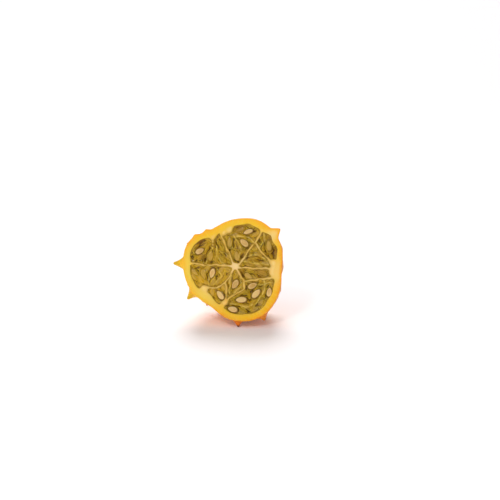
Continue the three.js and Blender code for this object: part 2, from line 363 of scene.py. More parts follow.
# %% [markdown]
# ## Horns
# Each horn is a low skirt that steepens to a blunt tip. A few are where the photograph shows them,
# three reach the ground and carry the half, and the rest follow a spiral by the golden angle, the
# rule by which plants space such things, with a seeded jitter. This repeats the solid model's rule.
# A placed horn is given as degrees round the rim, depth behind the cut and height. A depth below zero
# means that the knife went through it.

# %% Places of the horns
HORN_HEIGHT = 7.5
HORN_CLEARANCE = 1.2
HORN_SPACING = 12.5
PLACED_HORNS = [
    (42, -1.2, 6),
    (126, -2.2, 5),
    (140, -2.4, 5),
    (174.5, 4, 6.8),
    (212, 5, 6.0),
    (303.5, 6.5, 3.6),
    (24, 19, 3.2),
    (336, 20, 3.0),
    (75, 18, 4.4),
    (108, 17, 3.8),
    (152, 17, 5.2),
    (197, 20, 4.4),
    (231, 22, 3.6),
    (2, 31, 6.4),
    (312, 27, 5.0),
]
FOOT_HORNS = [(277, 4.5), (248, 33), (298, 34)]
FOOT_PRESS = 0.35
LOWEST_HORN = 3
SPIRAL_HORNS = 34
SPIRAL_FIRST_DEPTH = 22
SPIRAL_LAST_DEPTH = 49.4
GOLDEN_ANGLE = math.pi * (3 - math.sqrt(5))
SPIRAL_TURN = 0.4
JITTER = 0.1


def seeded_random(seed):
    """The solid model's small random generator, so that both draw the same horns."""
    state = seed
    while True:
        state = (state * 1664525 + 1013904223) % 4294967296
        yield state / 4294967296


def height_above_floor(point):
    return placed(point)[2] / MM


def horn_sites():
    sites = []

    def drop(point, normal):
        return height_above_floor(point) - height_above_floor(point + normal)

    def add(angle, depth, height):
        site = {"height": height, "sliced": depth < 0}
        site["point"] = skin_point(angle, depth)
        site["normal"] = skin_normal(angle, depth)
        sites.append(site)

    for degrees, depth, height in PLACED_HORNS:
        add(math.radians(degrees), depth, height)
    for degrees, depth in FOOT_HORNS:
        angle = math.radians(degrees)
        point = skin_point(angle, depth)
        to_floor = height_above_floor(point) + FOOT_PRESS
        add(angle, depth, to_floor / drop(point, skin_normal(angle, depth)))
    random = seeded_random(7)
    for k in range(SPIRAL_HORNS):
        share = (k + 0.5) / SPIRAL_HORNS
        depth = SPIRAL_FIRST_DEPTH + (SPIRAL_LAST_DEPTH - SPIRAL_FIRST_DEPTH) * share**0.92
        angle = SPIRAL_TURN + k * GOLDEN_ANGLE + JITTER * (next(random) - 0.5)
        height = HORN_HEIGHT * (0.85 + 0.3 * next(random)) * (1 - 0.25 * share)
        point = skin_point(angle, depth)
        if any(np.linalg.norm(site["point"] - point) < HORN_SPACING for site in sites):
            continue
        down = drop(point, skin_normal(angle, depth))
        room = (height_above_floor(point) - HORN_CLEARANCE) / down if down > 0 else math.inf
        if room < LOWEST_HORN:
            continue
        add(angle, depth, min(height, room))
    return sites


horns = horn_sites()
print("horns:", len(horns))

# %% [markdown]
# The horns go to Geometry Nodes as a mesh of bare points. Each point carries what its horn needs:
# the direction it grows in, its height and size, a slight lean, how steep and how old it is, and
# whether the cut slices it. Old horns are dark at the tip and young ones yellow-green. A few horns at
# the rim are broader, shorter or steeper than the rule makes them, as in the photograph.

# %% Points that carry the horns


def set_attribute(mesh, name, values, kind="FLOAT", domain="POINT"):
    """Stores one number, or one vector, for each point or face of a mesh."""
    values = np.asarray(values, np.float32)
    attribute = mesh.attributes.new(name, kind, domain)
    attribute.data.foreach_set("vector" if kind == "FLOAT_VECTOR" else "value", values.ravel())


draw = np.random.default_rng(11)
site_points = np.array([site["point"] for site in horns])
site_normals = np.array([site["normal"] for site in horns])
sliced = np.array([site["sliced"] for site in horns])
site_normals[sliced, 2] = 0
site_normals /= np.linalg.norm(site_normals, axis=1, keepdims=True)
heights = np.array([site["height"] for site in horns])
FRONT_FOOT = 15
LOW_HORNS = range(6, FRONT_FOOT)
LOW_HORN_AGE = 0.2
YOUNG_HORNS = {3: 0.1, 4: 0.1, 5: 0.2}
BROAD_HORNS = {3: 1.08, 4: 1.0, 5: 1.05}
SHORTER_HORNS = {6: 1.6, 7: 1.6, 8: 3.2, 9: 2.8, 13: 4.6}
USUAL_STEEPNESS = 2.7
STEEPNESS = {0: 1.5, 3: 2.2, 4: 2.2, 5: 2.0, FRONT_FOOT: 2.1}
ages = draw.uniform(0.45, 1.0, len(horns))
ages[list(LOW_HORNS)] *= LOW_HORN_AGE
steepness = np.full(len(horns), USUAL_STEEPNESS)
for values, changed in ((ages, YOUNG_HORNS), (heights, SHORTER_HORNS), (steepness, STEEPNESS)):
    for number, value in changed.items():
        values[number] = value
sizes = np.sqrt(heights / HORN_HEIGHT)
for number, broad in BROAD_HORNS.items():
    sizes[number] = broad
horn_points = bpy.data.meshes.new("horn points")
horn_points.from_pydata(placed(site_points).tolist(), [], [])
set_attribute(horn_points, "grows", turned(site_normals), "FLOAT_VECTOR")
set_attribute(horn_points, "lean", draw.normal(0, 0.07, (len(horns), 3)), "FLOAT_VECTOR")
set_attribute(horn_points, "height", heights * MM)
set_attribute(horn_points, "size", sizes)
set_attribute(horn_points, "whole", 1.0 - sliced)
set_attribute(horn_points, "age", ages)
set_attribute(horn_points, "steepness", steepness)
horn_carrier = new_object("horn points", horn_points)
print("horn heights from", heights.min().round(1), "to", heights.max().round(1), "mm")

# %% [markdown]
# ## The rind as rings
# The rind is one closed surface. It starts at the blossom end, runs over the skin to the rim, turns
# onto the cut face and ends at its middle, as rings of points. A ring has half as many points as its
# neighbour where it is half as long, so that the faces stay about square everywhere.

# %% Rings of points


MOST_HALVINGS = 5


def ring_count(radius, full_count, full_radius):
    """Points on a ring: halved each time its radius falls under about half, up to MOST_HALVINGS."""
    halvings = math.floor(math.log2(full_radius / max(radius, 0.1)) + 0.25)
    return full_count // 2 ** min(max(halvings, 0), MOST_HALVINGS)


def stitch(counts):
    """Faces between rings listed one after another, closed by a point at each end."""
    faces = []
    starts = np.cumsum([1] + counts[:-1])
    first = starts[0]
    faces += [(0, first + (i + 1) % counts[0], first + i) for i in range(counts[0])]
    for row in range(len(counts) - 1):
        a, b = int(starts[row]), int(starts[row + 1])
        n, m = counts[row], counts[row + 1]
        if n == m:
            faces += [(a + i, a + (i + 1) % n, b + (i + 1) % n, b + i) for i in range(n)]
        elif n > m:
            for i in range(m):
                j = (i + 1) % m
                faces.append((a + 2 * i, a + 2 * i + 1, b + i))
                faces.append((a + 2 * i + 1, b + j, b + i))
                faces.append((a + 2 * i + 1, a + (2 * i + 2) % n, b + j))
        else:
            for i in range(n):
                j = (i + 1) % n
                faces.append((a + i, b + 2 * i + 1, b + 2 * i))
                faces.append((a + i, a + j, b + 2 * i + 1))
                faces.append((a + j, b + (2 * i + 2) % m, b + 2 * i + 1))
    last, end = int(starts[-1]), int(starts[-1] + counts[-1])
    faces += [(last + i, last + (i + 1) % counts[-1], end) for i in range(counts[-1])]
    return faces


def ring_angles(count):
    return np.arange(count) / count * TURN


RIM_COUNT = 480
SKIN_STEP = 0.5
FACE_STEP = 0.42
SHARP_STEP = 0.12

turns = np.linspace(0, math.pi / 2, 4000)
fine_depths = FRUIT_LENGTH * np.sin(turns)
fine_radii = MEAN_RADIUS * width_share(fine_depths)
arc = np.concatenate([[0], np.cumsum(np.hypot(np.diff(fine_depths), np.diff(fine_radii)))])
skin_rows = int(arc[-1] / SKIN_STEP)
row_arcs = np.concatenate([[0, SHARP_STEP], np.arange(1, skin_rows) * SKIN_STEP])
row_depths = np.interp(row_arcs, arc, fine_depths)[::-1]
face_rows = int(MEAN_RADIUS / FACE_STEP)
face_shares = np.concatenate([[1 - SHARP_STEP / MEAN_RADIUS], 1 - np.arange(1, face_rows) / face_rows])
print(len(row_depths), "rings on the skin and", len(face_shares), "on the cut face")

# %% [markdown]
# On the cut face the flesh is flat as the knife left it, and each chamber is a pocket that the pulp
# will fill. Points that lie close to the edge of a chamber are moved onto it, which makes the edge a
# clean line however the rings run.

# %% The closed surface of the rind
POCKET = 6.0
EDGE_ROUNDING = 0.10
EDGE_WIDTH = 0.9
POCKET_SIDE = 0.28
SNAP = 0.24


def snapped(points):
    """Moves points on the cut face that are near the flesh's edge onto it."""
    step = 0.05
    value = flesh_distance(points)
    slope = np.stack(
        [
            flesh_distance(points + (step, 0)) - flesh_distance(points - (step, 0)),
            flesh_distance(points + (0, step)) - flesh_distance(points - (0, step)),
        ],
        axis=-1,
    ) / (2 * step)
    shift = -value[..., None] * slope / np.maximum((slope**2).sum(axis=-1, keepdims=True), 0.2)
    near = (np.abs(value) < SNAP)[..., None]
    return np.where(near, points + shift, points)


def pocket_height(distance):
    """Height of the cut face: a rounded edge, then the steep side of a pocket."""
    edge = -EDGE_ROUNDING * smoothstep(distance, -EDGE_WIDTH, 0.0)
    return edge - POCKET * (1 - np.exp(-np.maximum(distance - 0.02, 0) / POCKET_SIDE))


rings = [skin_point(0.0, FRUIT_LENGTH)[None] * (0, 0, 1)]
counts = []
for depth in row_depths:
    count = ring_count(MEAN_RADIUS * float(width_share(depth)), RIM_COUNT, MEAN_RADIUS)
    rings.append(skin_point(ring_angles(count), depth))
    counts.append(count)
skin_count = sum(len(ring) for ring in rings)
for share in face_shares:
    count = ring_count(MEAN_RADIUS * share, RIM_COUNT, MEAN_RADIUS)
    angles = ring_angles(count)
    radius = outline_radius(angles) * share
    flat = np.stack([radius * np.cos(angles), radius * np.sin(angles)], axis=-1)
    flat = snapped(flat + (1 - share) * CORE)
    rings.append(np.column_stack([flat, pocket_height(flesh_distance(flat))]))
    counts.append(count)
rings.append(np.array([[*CORE, pocket_height(flesh_distance(CORE))]]))
rind_points = np.concatenate(rings)
on_skin = np.arange(len(rind_points)) < skin_count

skin_angles = np.arctan2(rind_points[:, 1], rind_points[:, 0])
depths = -rind_points[:, 2]
normals = skin_normal(skin_angles, np.minimum(depths, FRUIT_LENGTH - 0.05))
normals[0] = (0, 0, -1)
LUMPS = 0.22
lumps = LUMPS * (ripple(rind_points, 13, 21) + 0.4 * ripple(rind_points, 5, 22))
SCAR_RADIUS = 3.2
SCAR_SINK = 0.9
from_end = np.linalg.norm(rind_points[:, :2], axis=1)
scar = np.where(depths > FRUIT_LENGTH / 2, 1 - smoothstep(from_end, 0.5, SCAR_RADIUS), 0)
lift = on_skin * (lumps * smoothstep(depths, 0, 5) - SCAR_SINK * scar)
rind_points = rind_points + lift[:, None] * normals
rind_faces = stitch(counts)
print("rind:", len(rind_points), "points and", len(rind_faces), "faces before the horns")

# %% [markdown]
# Some numbers are stored with the points, for the materials to read: how far in from the skin a point
# of the cut face lies, how deep it is in a pocket, for the painted shade down its sides, where it is
# paler, where it is painted yellower on the sides of the rim that the light falls on, which is painted
# light, and a direction for streaks. A pale side, or a side painted yellower as lit, is given as
# degrees round the rim, spread and strength.
# The streaks of the skin run from end to end of the fruit, and the fibres of the flesh run in towards
# the core.

# %% Rind mesh and what its points carry
PALE_SIDES = [(42, 7, 0.9), (180, 24, 0.4), (226, 20, 0.6), (358, 16, 0.65)]
# Painted light: the rim and the skin next to it are painted yellower on the sides that the light falls on.
LIT_YELLOW_SIDES = [(182, 26, 0.55), (228, 20, 0.5), (95, 40, 0.3), (272, 12, 0.2)]
CORE_GLOW = 5.5
rind_mesh = bpy.data.meshes.new("rind grid")
rind_mesh.from_pydata(placed(rind_points).tolist(), [], rind_faces)
face_angles = np.arctan2(rind_points[:, 1], rind_points[:, 0])
inward = np.where(on_skin, 0, outline_radius(face_angles) - np.hypot(rind_points[:, 0], rind_points[:, 1]))
from_core = np.linalg.norm(rind_points[:, :2] - CORE, axis=1)
spread_out = MEAN_RADIUS * np.where(on_skin, 1, smoothstep(from_core, 0, CORE_GLOW))
streaks = np.column_stack(
    [
        spread_out * np.cos(face_angles),
        spread_out * np.sin(face_angles),
        np.where(on_skin, depths * 0.22, 40 + inward * 0.3),
    ]
)
set_attribute(rind_mesh, "skin", on_skin)
set_attribute(rind_mesh, "inward", inward)
# How deep a point lies in a pocket; the flesh material paints the pocket sides darker with it, as shade.
set_attribute(rind_mesh, "sunk", np.where(on_skin, 0, np.maximum(-rind_points[:, 2], 0)))
set_attribute(rind_mesh, "edge", np.where(on_skin, 5, np.abs(flesh_distance(rind_points[:, :2]))))
pallor = sum(much * round_about(face_angles, degrees, spread) for degrees, spread, much in PALE_SIDES)
set_attribute(rind_mesh, "pallor", np.where(on_skin, 0, pallor))
# Where the rim is painted yellower as lit, fading out away from the rim.
painted_lit_yellow = sum(much * round_about(face_angles, degrees, spread) for degrees, spread, much in LIT_YELLOW_SIDES)
painted_lit_yellow *= 1 - smoothstep(np.where(on_skin, depths, inward), 4, 10)
set_attribute(rind_mesh, "painted_lit_yellow", painted_lit_yellow)
set_attribute(rind_mesh, "core", np.where(on_skin, 0, np.exp(-((from_core / CORE_GLOW) ** 2))))
set_attribute(rind_mesh, "scar", on_skin * scar)
set_attribute(rind_mesh, "depth", np.where(on_skin, depths, 0))
set_attribute(rind_mesh, "streaks", streaks, "FLOAT_VECTOR")
cut_faces = np.array([max(face) >= skin_count for face in rind_faces], float)
set_attribute(rind_mesh, "cut", cut_faces, domain="FACE")
rind_grid = new_object("rind grid", rind_mesh)
print("cut faces:", int(cut_faces.sum()), "of", len(cut_faces))

# %% [markdown]
# ## Node helpers
# Node trees are built in code here, so two small helpers keep that readable. One adds a node, sets
# its options and wires its inputs. The other does arithmetic on sockets.

# %% Helpers for node trees


def socket(sockets, key):
    """The socket in use with this name or index."""
    if isinstance(key, int):
        return sockets[key]
    return next(each for each in sockets if each.name == key and each.enabled)


def add_node(tree, kind, inputs=None, **options):
    """Adds a node; an input is wired if it is given a socket, and set if it is given a value."""
    node = tree.nodes.new(kind)
    node.location = (190 * (len(tree.nodes) % 12), -230 * (len(tree.nodes) // 12))
    for name, value in options.items():
        setattr(node, name, value)
    for key, value in (inputs or {}).items():
        if isinstance(value, bpy.types.NodeSocket):
            tree.links.new(value, socket(node.inputs, key))
        else:
            socket(node.inputs, key).default_value = value
    return node


def calc(tree, operation, a, b=0.0, clamp=False):
    inputs = {0: a} if operation in ("SQRT", "ABSOLUTE") else {0: a, 1: b}
    return add_node(tree, "ShaderNodeMath", inputs, operation=operation, use_clamp=clamp).outputs[0]


def vector_calc(tree, operation, a, b=(0.0, 0.0, 0.0)):
    node = add_node(tree, "ShaderNodeVectorMath", {0: a, 1: b}, operation=operation)
    return node.outputs["Value" if operation in ("DOT_PRODUCT", "LENGTH") else "Vector"]


def scaled(tree, vector, scale):
    node = add_node(tree, "ShaderNodeVectorMath", {0: vector, "Scale": scale}, operation="SCALE")
    return node.outputs["Vector"]


def ranged(tree, value, low, high, to_low=0.0, to_high=1.0, kind="SMOOTHSTEP"):
    inputs = {"Value": value, "From Min": low, "From Max": high, "To Min": to_low, "To Max": to_high}
    return add_node(tree, "ShaderNodeMapRange", inputs, interpolation_type=kind).outputs["Result"]


def new_geometry_tree(name, inputs):
    """An empty tree with named inputs; gives the tree and its input node."""
    tree = bpy.data.node_groups.new(name, "GeometryNodeTree")
    tree.interface.new_socket("Geometry", in_out="INPUT", socket_type="NodeSocketGeometry")
    for label, kind in inputs.items():
        tree.interface.new_socket(label, in_out="INPUT", socket_type="NodeSocket" + kind)
    tree.interface.new_socket("Geometry", in_out="OUTPUT", socket_type="NodeSocketGeometry")
    return tree, tree.nodes.new("NodeGroupInput")


def named(tree, name, kind="FLOAT"):
    node = add_node(tree, "GeometryNodeInputNamedAttribute", {"Name": name}, data_type=kind)
    return socket(node.outputs, "Attribute")


def run_tree(holder, tree, values, name):
    """Runs a tree on an object and gives its result as a plain mesh object."""
    modifier = holder.modifiers.new(tree.name, "NODES")
    modifier.node_group = tree
    for item in tree.interface.items_tree:
        if item.in_out == "INPUT" and item.name in values:
            modifier[item.identifier] = values[item.name]
    depsgraph = bpy.context.evaluated_depsgraph_get()
    mesh = bpy.data.meshes.new_from_object(holder.evaluated_get(depsgraph), depsgraph=depsgraph)
    mesh.name = name
    bpy.data.objects.remove(holder)
    mesh.shade_smooth()
    return new_object(name, mesh)


print("helpers ready")

# %% [markdown]
# ## Materials: the skin
# The skin is amber to deep orange in soft patches, with a fine darker net and streaks along the fruit.
# It turns red-orange round each horn, and the old tips are brown. Near the knife cut it is yellower,
# and on the sides of the rim that the light falls on it is painted yellower still, as painted light.
# All of it comes from noise in the object's own coordinates and from the numbers stored with the
# points, so it holds from any side. Bump gives the net its slight relief.

# %% Shader helpers


def new_material(name):
    material = bpy.data.materials.new(name)
    material.use_nodes = True
    tree = material.node_tree
    return material, tree, tree.nodes["Principled BSDF"]


def mixed(tree, factor, a, b, blend="MIX"):
    """A mix of two colours, each a socket or a value."""
    node = add_node(tree, "ShaderNodeMix", data_type="RGBA", blend_type=blend)
    for index, value in ((0, factor), (6, a), (7, b)):
        if isinstance(value, bpy.types.NodeSocket):
            tree.links.new(value, node.inputs[index])
        else:
            node.inputs[index].default_value = value
    return node.outputs[2]


def tinted(tree, colour, share, amount, tint):
    """A colour with some of a tint over it, by a share of the surface times an amount."""
    return mixed(tree, calc(tree, "MULTIPLY", share, amount, clamp=True), colour, tint)


def attribute(tree, name, output="Fac"):
    return add_node(tree, "ShaderNodeAttribute", attribute_name=name).outputs[output]


def noise(tree, vector, size_mm, detail=3.0, roughness=0.55, in_mm=False):
    """Noise whose lumps are about size_mm across."""
    scale = 1 / size_mm if in_mm else 1 / (size_mm * MM)
    inputs = {"Vector": vector, "Scale": scale, "Detail": detail, "Roughness": roughness}
    return add_node(tree, "ShaderNodeTexNoise", inputs).outputs["Fac"]


def ramp(tree, factor, stops):
    """A colour ramp through (place, colour) stops."""
    node = add_node(tree, "ShaderNodeValToRGB", {"Fac": factor})
    elements = node.color_ramp.elements
    while len(elements) < len(stops):
        elements.new(0.5)
    for element, (place, colour) in zip(elements, stops):
        element.position = place
        element.color = colour
    return node.outputs["Color"]


def bump(tree, height, distance_mm, strength=1.0, normal=None):
    inputs = {"Height": height, "Distance": distance_mm * MM, "Strength": strength}
    if normal is not None:
        inputs["Normal"] = normal
    return add_node(tree, "ShaderNodeBump", inputs).outputs["Normal"]


def set_inputs(shader, **values):
    for name, value in values.items():
        shader.inputs[name.replace("_", " ")].default_value = value


print("shader helpers ready")

# %% Skin material
skin_material, tree, shader = new_material("horned skin")
place = add_node(tree, "ShaderNodeTexCoord").outputs["Object"]
streak_place = attribute(tree, "streaks", "Vector")
patches = ranged(tree, noise(tree, place, 16, 2), 0.38, 0.64)
streaking = ranged(tree, noise(tree, streak_place, 3.2, 4, 0.6, in_mm=True), 0.40, 0.66)
mottle = ranged(tree, noise(tree, place, 2.6, 5, 0.65), 0.36, 0.66)
colour = mixed(tree, patches, srgb(248, 176, 40), srgb(247, 134, 12))
colour = tinted(tree, colour, streaking, 0.65, srgb(242, 104, 8))
colour = tinted(tree, colour, mottle, 0.40, srgb(252, 196, 74))
near_cut = ranged(tree, attribute(tree, "depth"), 0.0, 9.0, 0.7, 0.0)
colour = mixed(tree, near_cut, colour, srgb(252, 172, 30))
# Painted light: the skin by the rim is yellower on its lit sides.
colour = tinted(tree, colour, attribute(tree, "painted_lit_yellow"), 1.4, srgb(250, 200, 30))
halo = attribute(tree, "halo")
flush = calc(tree, "MULTIPLY", halo, ranged(tree, noise(tree, place, 7, 3), 0.25, 0.62, 0.55, 1.0))
flush = calc(tree, "MULTIPLY", flush, ranged(tree, attribute(tree, "age"), 0.1, 0.5, 0.15, 1.0))
colour = mixed(tree, flush, colour, srgb(232, 78, 10))
young = calc(tree, "MULTIPLY", halo, ranged(tree, attribute(tree, "age"), 0.1, 0.2, 0.85, 0.0))
colour = mixed(tree, young, colour, srgb(220, 196, 22))
net = add_node(
    tree,
    "ShaderNodeTexVoronoi",
    {"Vector": place, "Scale": 1 / (1.5 * MM), "Randomness": 1.0},
    feature="DISTANCE_TO_EDGE",
).outputs["Distance"]
net_line = ranged(tree, net, 0.0, 0.16, 1.0, 0.0)
net_share = calc(tree, "MULTIPLY", net_line, ranged(tree, noise(tree, place, 5, 3), 0.35, 0.65, 0.1, 0.55))
colour = mixed(tree, net_share, colour, srgb(214, 84, 10))
tip = ranged(tree, attribute(tree, "horn"), 0.62, 0.98)
tip_share = calc(tree, "MULTIPLY", tip, attribute(tree, "age"), clamp=True)
colour = mixed(tree, tip_share, colour, srgb(100, 50, 26))
colour = mixed(tree, ranged(tree, attribute(tree, "scar"), 0.25, 0.8), colour, srgb(120, 86, 48))
tree.links.new(colour, shader.inputs["Base Color"])
rough = ranged(tree, noise(tree, place, 4, 3), 0.3, 0.7, 0.36, 0.52)
tree.links.new(rough, shader.inputs["Roughness"])
pores = bump(tree, noise(tree, place, 0.5, 3), 0.05, 0.5)
relief = bump(tree, net_line, -0.10, 0.6, pores)
relief = bump(tree, noise(tree, place, 3.0, 3), 0.25, 0.6, relief)
tree.links.new(relief, shader.inputs["Normal"])
set_inputs(
    shader,
    Specular_IOR_Level=0.25,
    Coat_Weight=0.06,
    Coat_Roughness=0.25,
    Subsurface_Weight=0.08,
    Subsurface_Scale=0.002,
)
shader.inputs["Subsurface Radius"].default_value = (1.0, 0.45, 0.15)
print("skin material made")

# %% [markdown]
# ## Materials: the cut flesh
# Under the skin the flesh is a strong yellow. Where it is thick, in the core and where partitions meet
# the wall, it pales to cream, and thin partitions take some of the jelly's colour. It is wet, a little
# translucent, and shows fibres that run inwards.

# %% Flesh material
flesh_material, tree, shader = new_material("cut flesh")
place = add_node(tree, "ShaderNodeTexCoord").outputs["Object"]
fibre_place = attribute(tree, "streaks", "Vector")
inward_mm = attribute(tree, "inward")
wobble = ranged(tree, noise(tree, place, 6, 3), 0.2, 0.8, -0.9, 0.9, "LINEAR")
reach = calc(tree, "ADD", inward_mm, wobble)
across = ranged(tree, reach, 0.0, 8.0, 0.0, 1.0, "LINEAR")
colour = ramp(
    tree,
    across,
    [
        (0.0, srgb(248, 158, 4)),
        (0.12, srgb(251, 182, 4)),
        (0.36, srgb(250, 197, 14)),
        (0.60, srgb(244, 194, 42)),
        (1.0, srgb(238, 194, 90)),
    ],
)
thick = ranged(tree, attribute(tree, "edge"), 0.35, 1.7)
pale = calc(tree, "MULTIPLY", thick, ranged(tree, reach, 3.5, 6.4))
side_pale = calc(tree, "MULTIPLY", attribute(tree, "pallor"), ranged(tree, reach, 0.4, 2.6))
pale = calc(tree, "MAXIMUM", pale, side_pale, clamp=True)
colour = tinted(tree, colour, pale, 0.9, srgb(250, 218, 142))
rind_line = ranged(tree, inward_mm, 0.15, 0.7, 1.0, 0.0)
colour = tinted(tree, colour, rind_line, 0.8, srgb(250, 150, 14))
fibres = ranged(tree, noise(tree, fibre_place, 1.1, 4, 0.6, in_mm=True), 0.42, 0.7)
colour = tinted(tree, colour, fibres, 0.35, srgb(252, 204, 92))
cloud = ranged(tree, noise(tree, place, 9, 3), 0.4, 0.7)
colour = tinted(tree, colour, cloud, 0.35, srgb(252, 184, 40))
# Painted light: the flesh by the rim is yellower on its lit sides.
colour = mixed(tree, attribute(tree, "painted_lit_yellow"), colour, srgb(246, 218, 62))
inside = ranged(tree, inward_mm, 5.0, 8.0)
septum_edge = ranged(tree, attribute(tree, "edge"), 0.1, 0.9, 1.0, 0.0)
colour = mixed(
    tree,
    calc(tree, "MULTIPLY", calc(tree, "MULTIPLY", inside, septum_edge), 0.6),
    colour,
    srgb(206, 168, 74),
)
core = calc(tree, "MULTIPLY", attribute(tree, "core"), ranged(tree, attribute(tree, "edge"), 0.0, 0.4))
colour = mixed(tree, core, colour, srgb(250, 214, 150))
# Painted shade: the sides of the pockets turn darker and olive with depth.
colour = mixed(tree, ranged(tree, attribute(tree, "sunk"), 0.15, 1.6), colour, srgb(150, 118, 30))
tree.links.new(colour, shader.inputs["Base Color"])
relief = bump(tree, noise(tree, fibre_place, 0.8, 4, 0.6, in_mm=True), 0.10, 0.5)
relief = bump(tree, noise(tree, place, 1.2, 4), 0.10, 0.5, relief)
tree.links.new(relief, shader.inputs["Normal"])
set_inputs(
    shader,
    Roughness=0.38,
    Specular_IOR_Level=0.15,
    Coat_Weight=0.15,
    Coat_Roughness=0.08,
    Subsurface_Weight=0.30,
    Subsurface_Scale=0.0025,
)
shader.inputs["Subsurface Radius"].default_value = (1.0, 0.6, 0.2)
print("flesh material made")

# %% [markdown]
# ## Raising the horns with Geometry Nodes
# The skin could be given separate cones, but a real horn grows out of the skin without a seam. So the
# tree moves the skin itself: each point finds its nearest horn, slides in towards the horn's axis and
# is lifted along it. Sliding in gathers enough rings of points to draw the steep sides. Where the knife
# went through a horn, the flesh of the cut face follows it outwards. The tree also stores how high on
# a horn each point is, for the brown tips and the red-orange halo.

# %% The horn tree
horn_tree, given = new_geometry_tree(
    "raise horns",
    {
        "Horn Points": "Object",
        "Reach": "Float",
        "Cut Reach": "Float",
        "Tip Radius": "Float",
        "Halo Reach": "Float",
        "Slide": "Float",
        "Skin Material": "Material",
        "Flesh Material": "Material",
    },
)
t = horn_tree
sites = add_node(t, "GeometryNodeObjectInfo", {"Object": given.outputs["Horn Points"]}).outputs["Geometry"]
position = add_node(t, "GeometryNodeInputPosition").outputs[0]
nearest = add_node(
    t, "GeometryNodeSampleNearest", {"Geometry": sites, "Sample Position": position}, domain="POINT"
)


def of_nearest(value, kind):
    """What the nearest horn point carries."""
    inputs = {"Geometry": sites, "Value": value, "Index": nearest.outputs["Index"]}
    node = add_node(t, "GeometryNodeSampleIndex", None, data_type=kind, domain="POINT")
    for key, source in inputs.items():
        t.links.new(source, socket(node.inputs, key))
    return socket(node.outputs, "Value")


foot = of_nearest(position, "FLOAT_VECTOR")
grows = of_nearest(named(t, "grows", "FLOAT_VECTOR"), "FLOAT_VECTOR")
lean = of_nearest(named(t, "lean", "FLOAT_VECTOR"), "FLOAT_VECTOR")
height = of_nearest(named(t, "height"), "FLOAT")
size = of_nearest(named(t, "size"), "FLOAT")
whole = of_nearest(named(t, "whole"), "FLOAT")
age = of_nearest(named(t, "age"), "FLOAT")
steepness = of_nearest(named(t, "steepness"), "FLOAT")

offset = vector_calc(t, "SUBTRACT", position, foot)
along = vector_calc(t, "DOT_PRODUCT", offset, grows)
sideways = vector_calc(t, "SUBTRACT", offset, scaled(t, grows, along))
radius = vector_calc(t, "LENGTH", sideways)
reach = calc(t, "MULTIPLY", given.outputs["Reach"], size)
tip_radius = calc(t, "MULTIPLY", given.outputs["Tip Radius"], size)
share = calc(t, "DIVIDE", radius, reach, clamp=True)
extra_slide = calc(t, "SUBTRACT", given.outputs["Slide"], 1.0)
exponent = calc(t, "ADD", 1.0, calc(t, "MULTIPLY", whole, extra_slide))
new_radius = calc(t, "MULTIPLY", reach, calc(t, "POWER", share, exponent))
skirt = calc(
    t,
    "DIVIDE",
    calc(t, "SUBTRACT", new_radius, tip_radius),
    calc(t, "SUBTRACT", reach, tip_radius),
    clamp=True,
)
up_horn = calc(t, "POWER", calc(t, "SUBTRACT", 1.0, skirt, clamp=True), steepness)
round_share = calc(t, "DIVIDE", new_radius, tip_radius, clamp=True)
cap = calc(t, "SQRT", calc(t, "SUBTRACT", 1.0, calc(t, "MULTIPLY", round_share, round_share), clamp=True))
CAP_SHARE = 0.8
cap_height = calc(t, "MULTIPLY", tip_radius, CAP_SHARE)
lifted = calc(
    t,
    "ADD",
    calc(t, "MULTIPLY", calc(t, "SUBTRACT", height, cap_height), up_horn),
    calc(t, "MULTIPLY", cap_height, cap),
)
slide = calc(t, "DIVIDE", calc(t, "SUBTRACT", new_radius, radius), calc(t, "MAXIMUM", radius, 1e-6))
move = vector_calc(t, "ADD", scaled(t, grows, lifted), scaled(t, sideways, slide))
lean_height = calc(t, "MULTIPLY", height, whole)
lean_share = calc(t, "MULTIPLY", up_horn, up_horn)
lean_move = scaled(t, lean, calc(t, "MULTIPLY", lean_height, lean_share))
move = vector_calc(t, "ADD", move, lean_move)
is_skin = calc(t, "GREATER_THAN", named(t, "skin"), 0.5)
rim_share = calc(t, "DIVIDE", named(t, "inward"), given.outputs["Cut Reach"])
at_rim = calc(t, "SUBTRACT", 1.0, rim_share, clamp=True)
follows = calc(t, "MULTIPLY", calc(t, "MULTIPLY", at_rim, at_rim), calc(t, "SUBTRACT", 1.0, whole))
moves = calc(t, "MAXIMUM", is_skin, follows)
move = scaled(t, move, moves)
on_horn = calc(t, "MULTIPLY", calc(t, "GREATER_THAN", moves, 0.0), calc(t, "LESS_THAN", radius, reach))
halo_reach = calc(t, "MULTIPLY", given.outputs["Halo Reach"], size)
halo = calc(t, "MULTIPLY", ranged(t, radius, 0.0, halo_reach, 1.0, 0.0), whole)


def stored(geometry, name, value):
    node = add_node(
        t,
        "GeometryNodeStoreNamedAttribute",
        {"Geometry": geometry, "Name": name},
        data_type="FLOAT",
        domain="POINT",
    )
    t.links.new(value, socket(node.inputs, "Value"))
    return node.outputs["Geometry"]


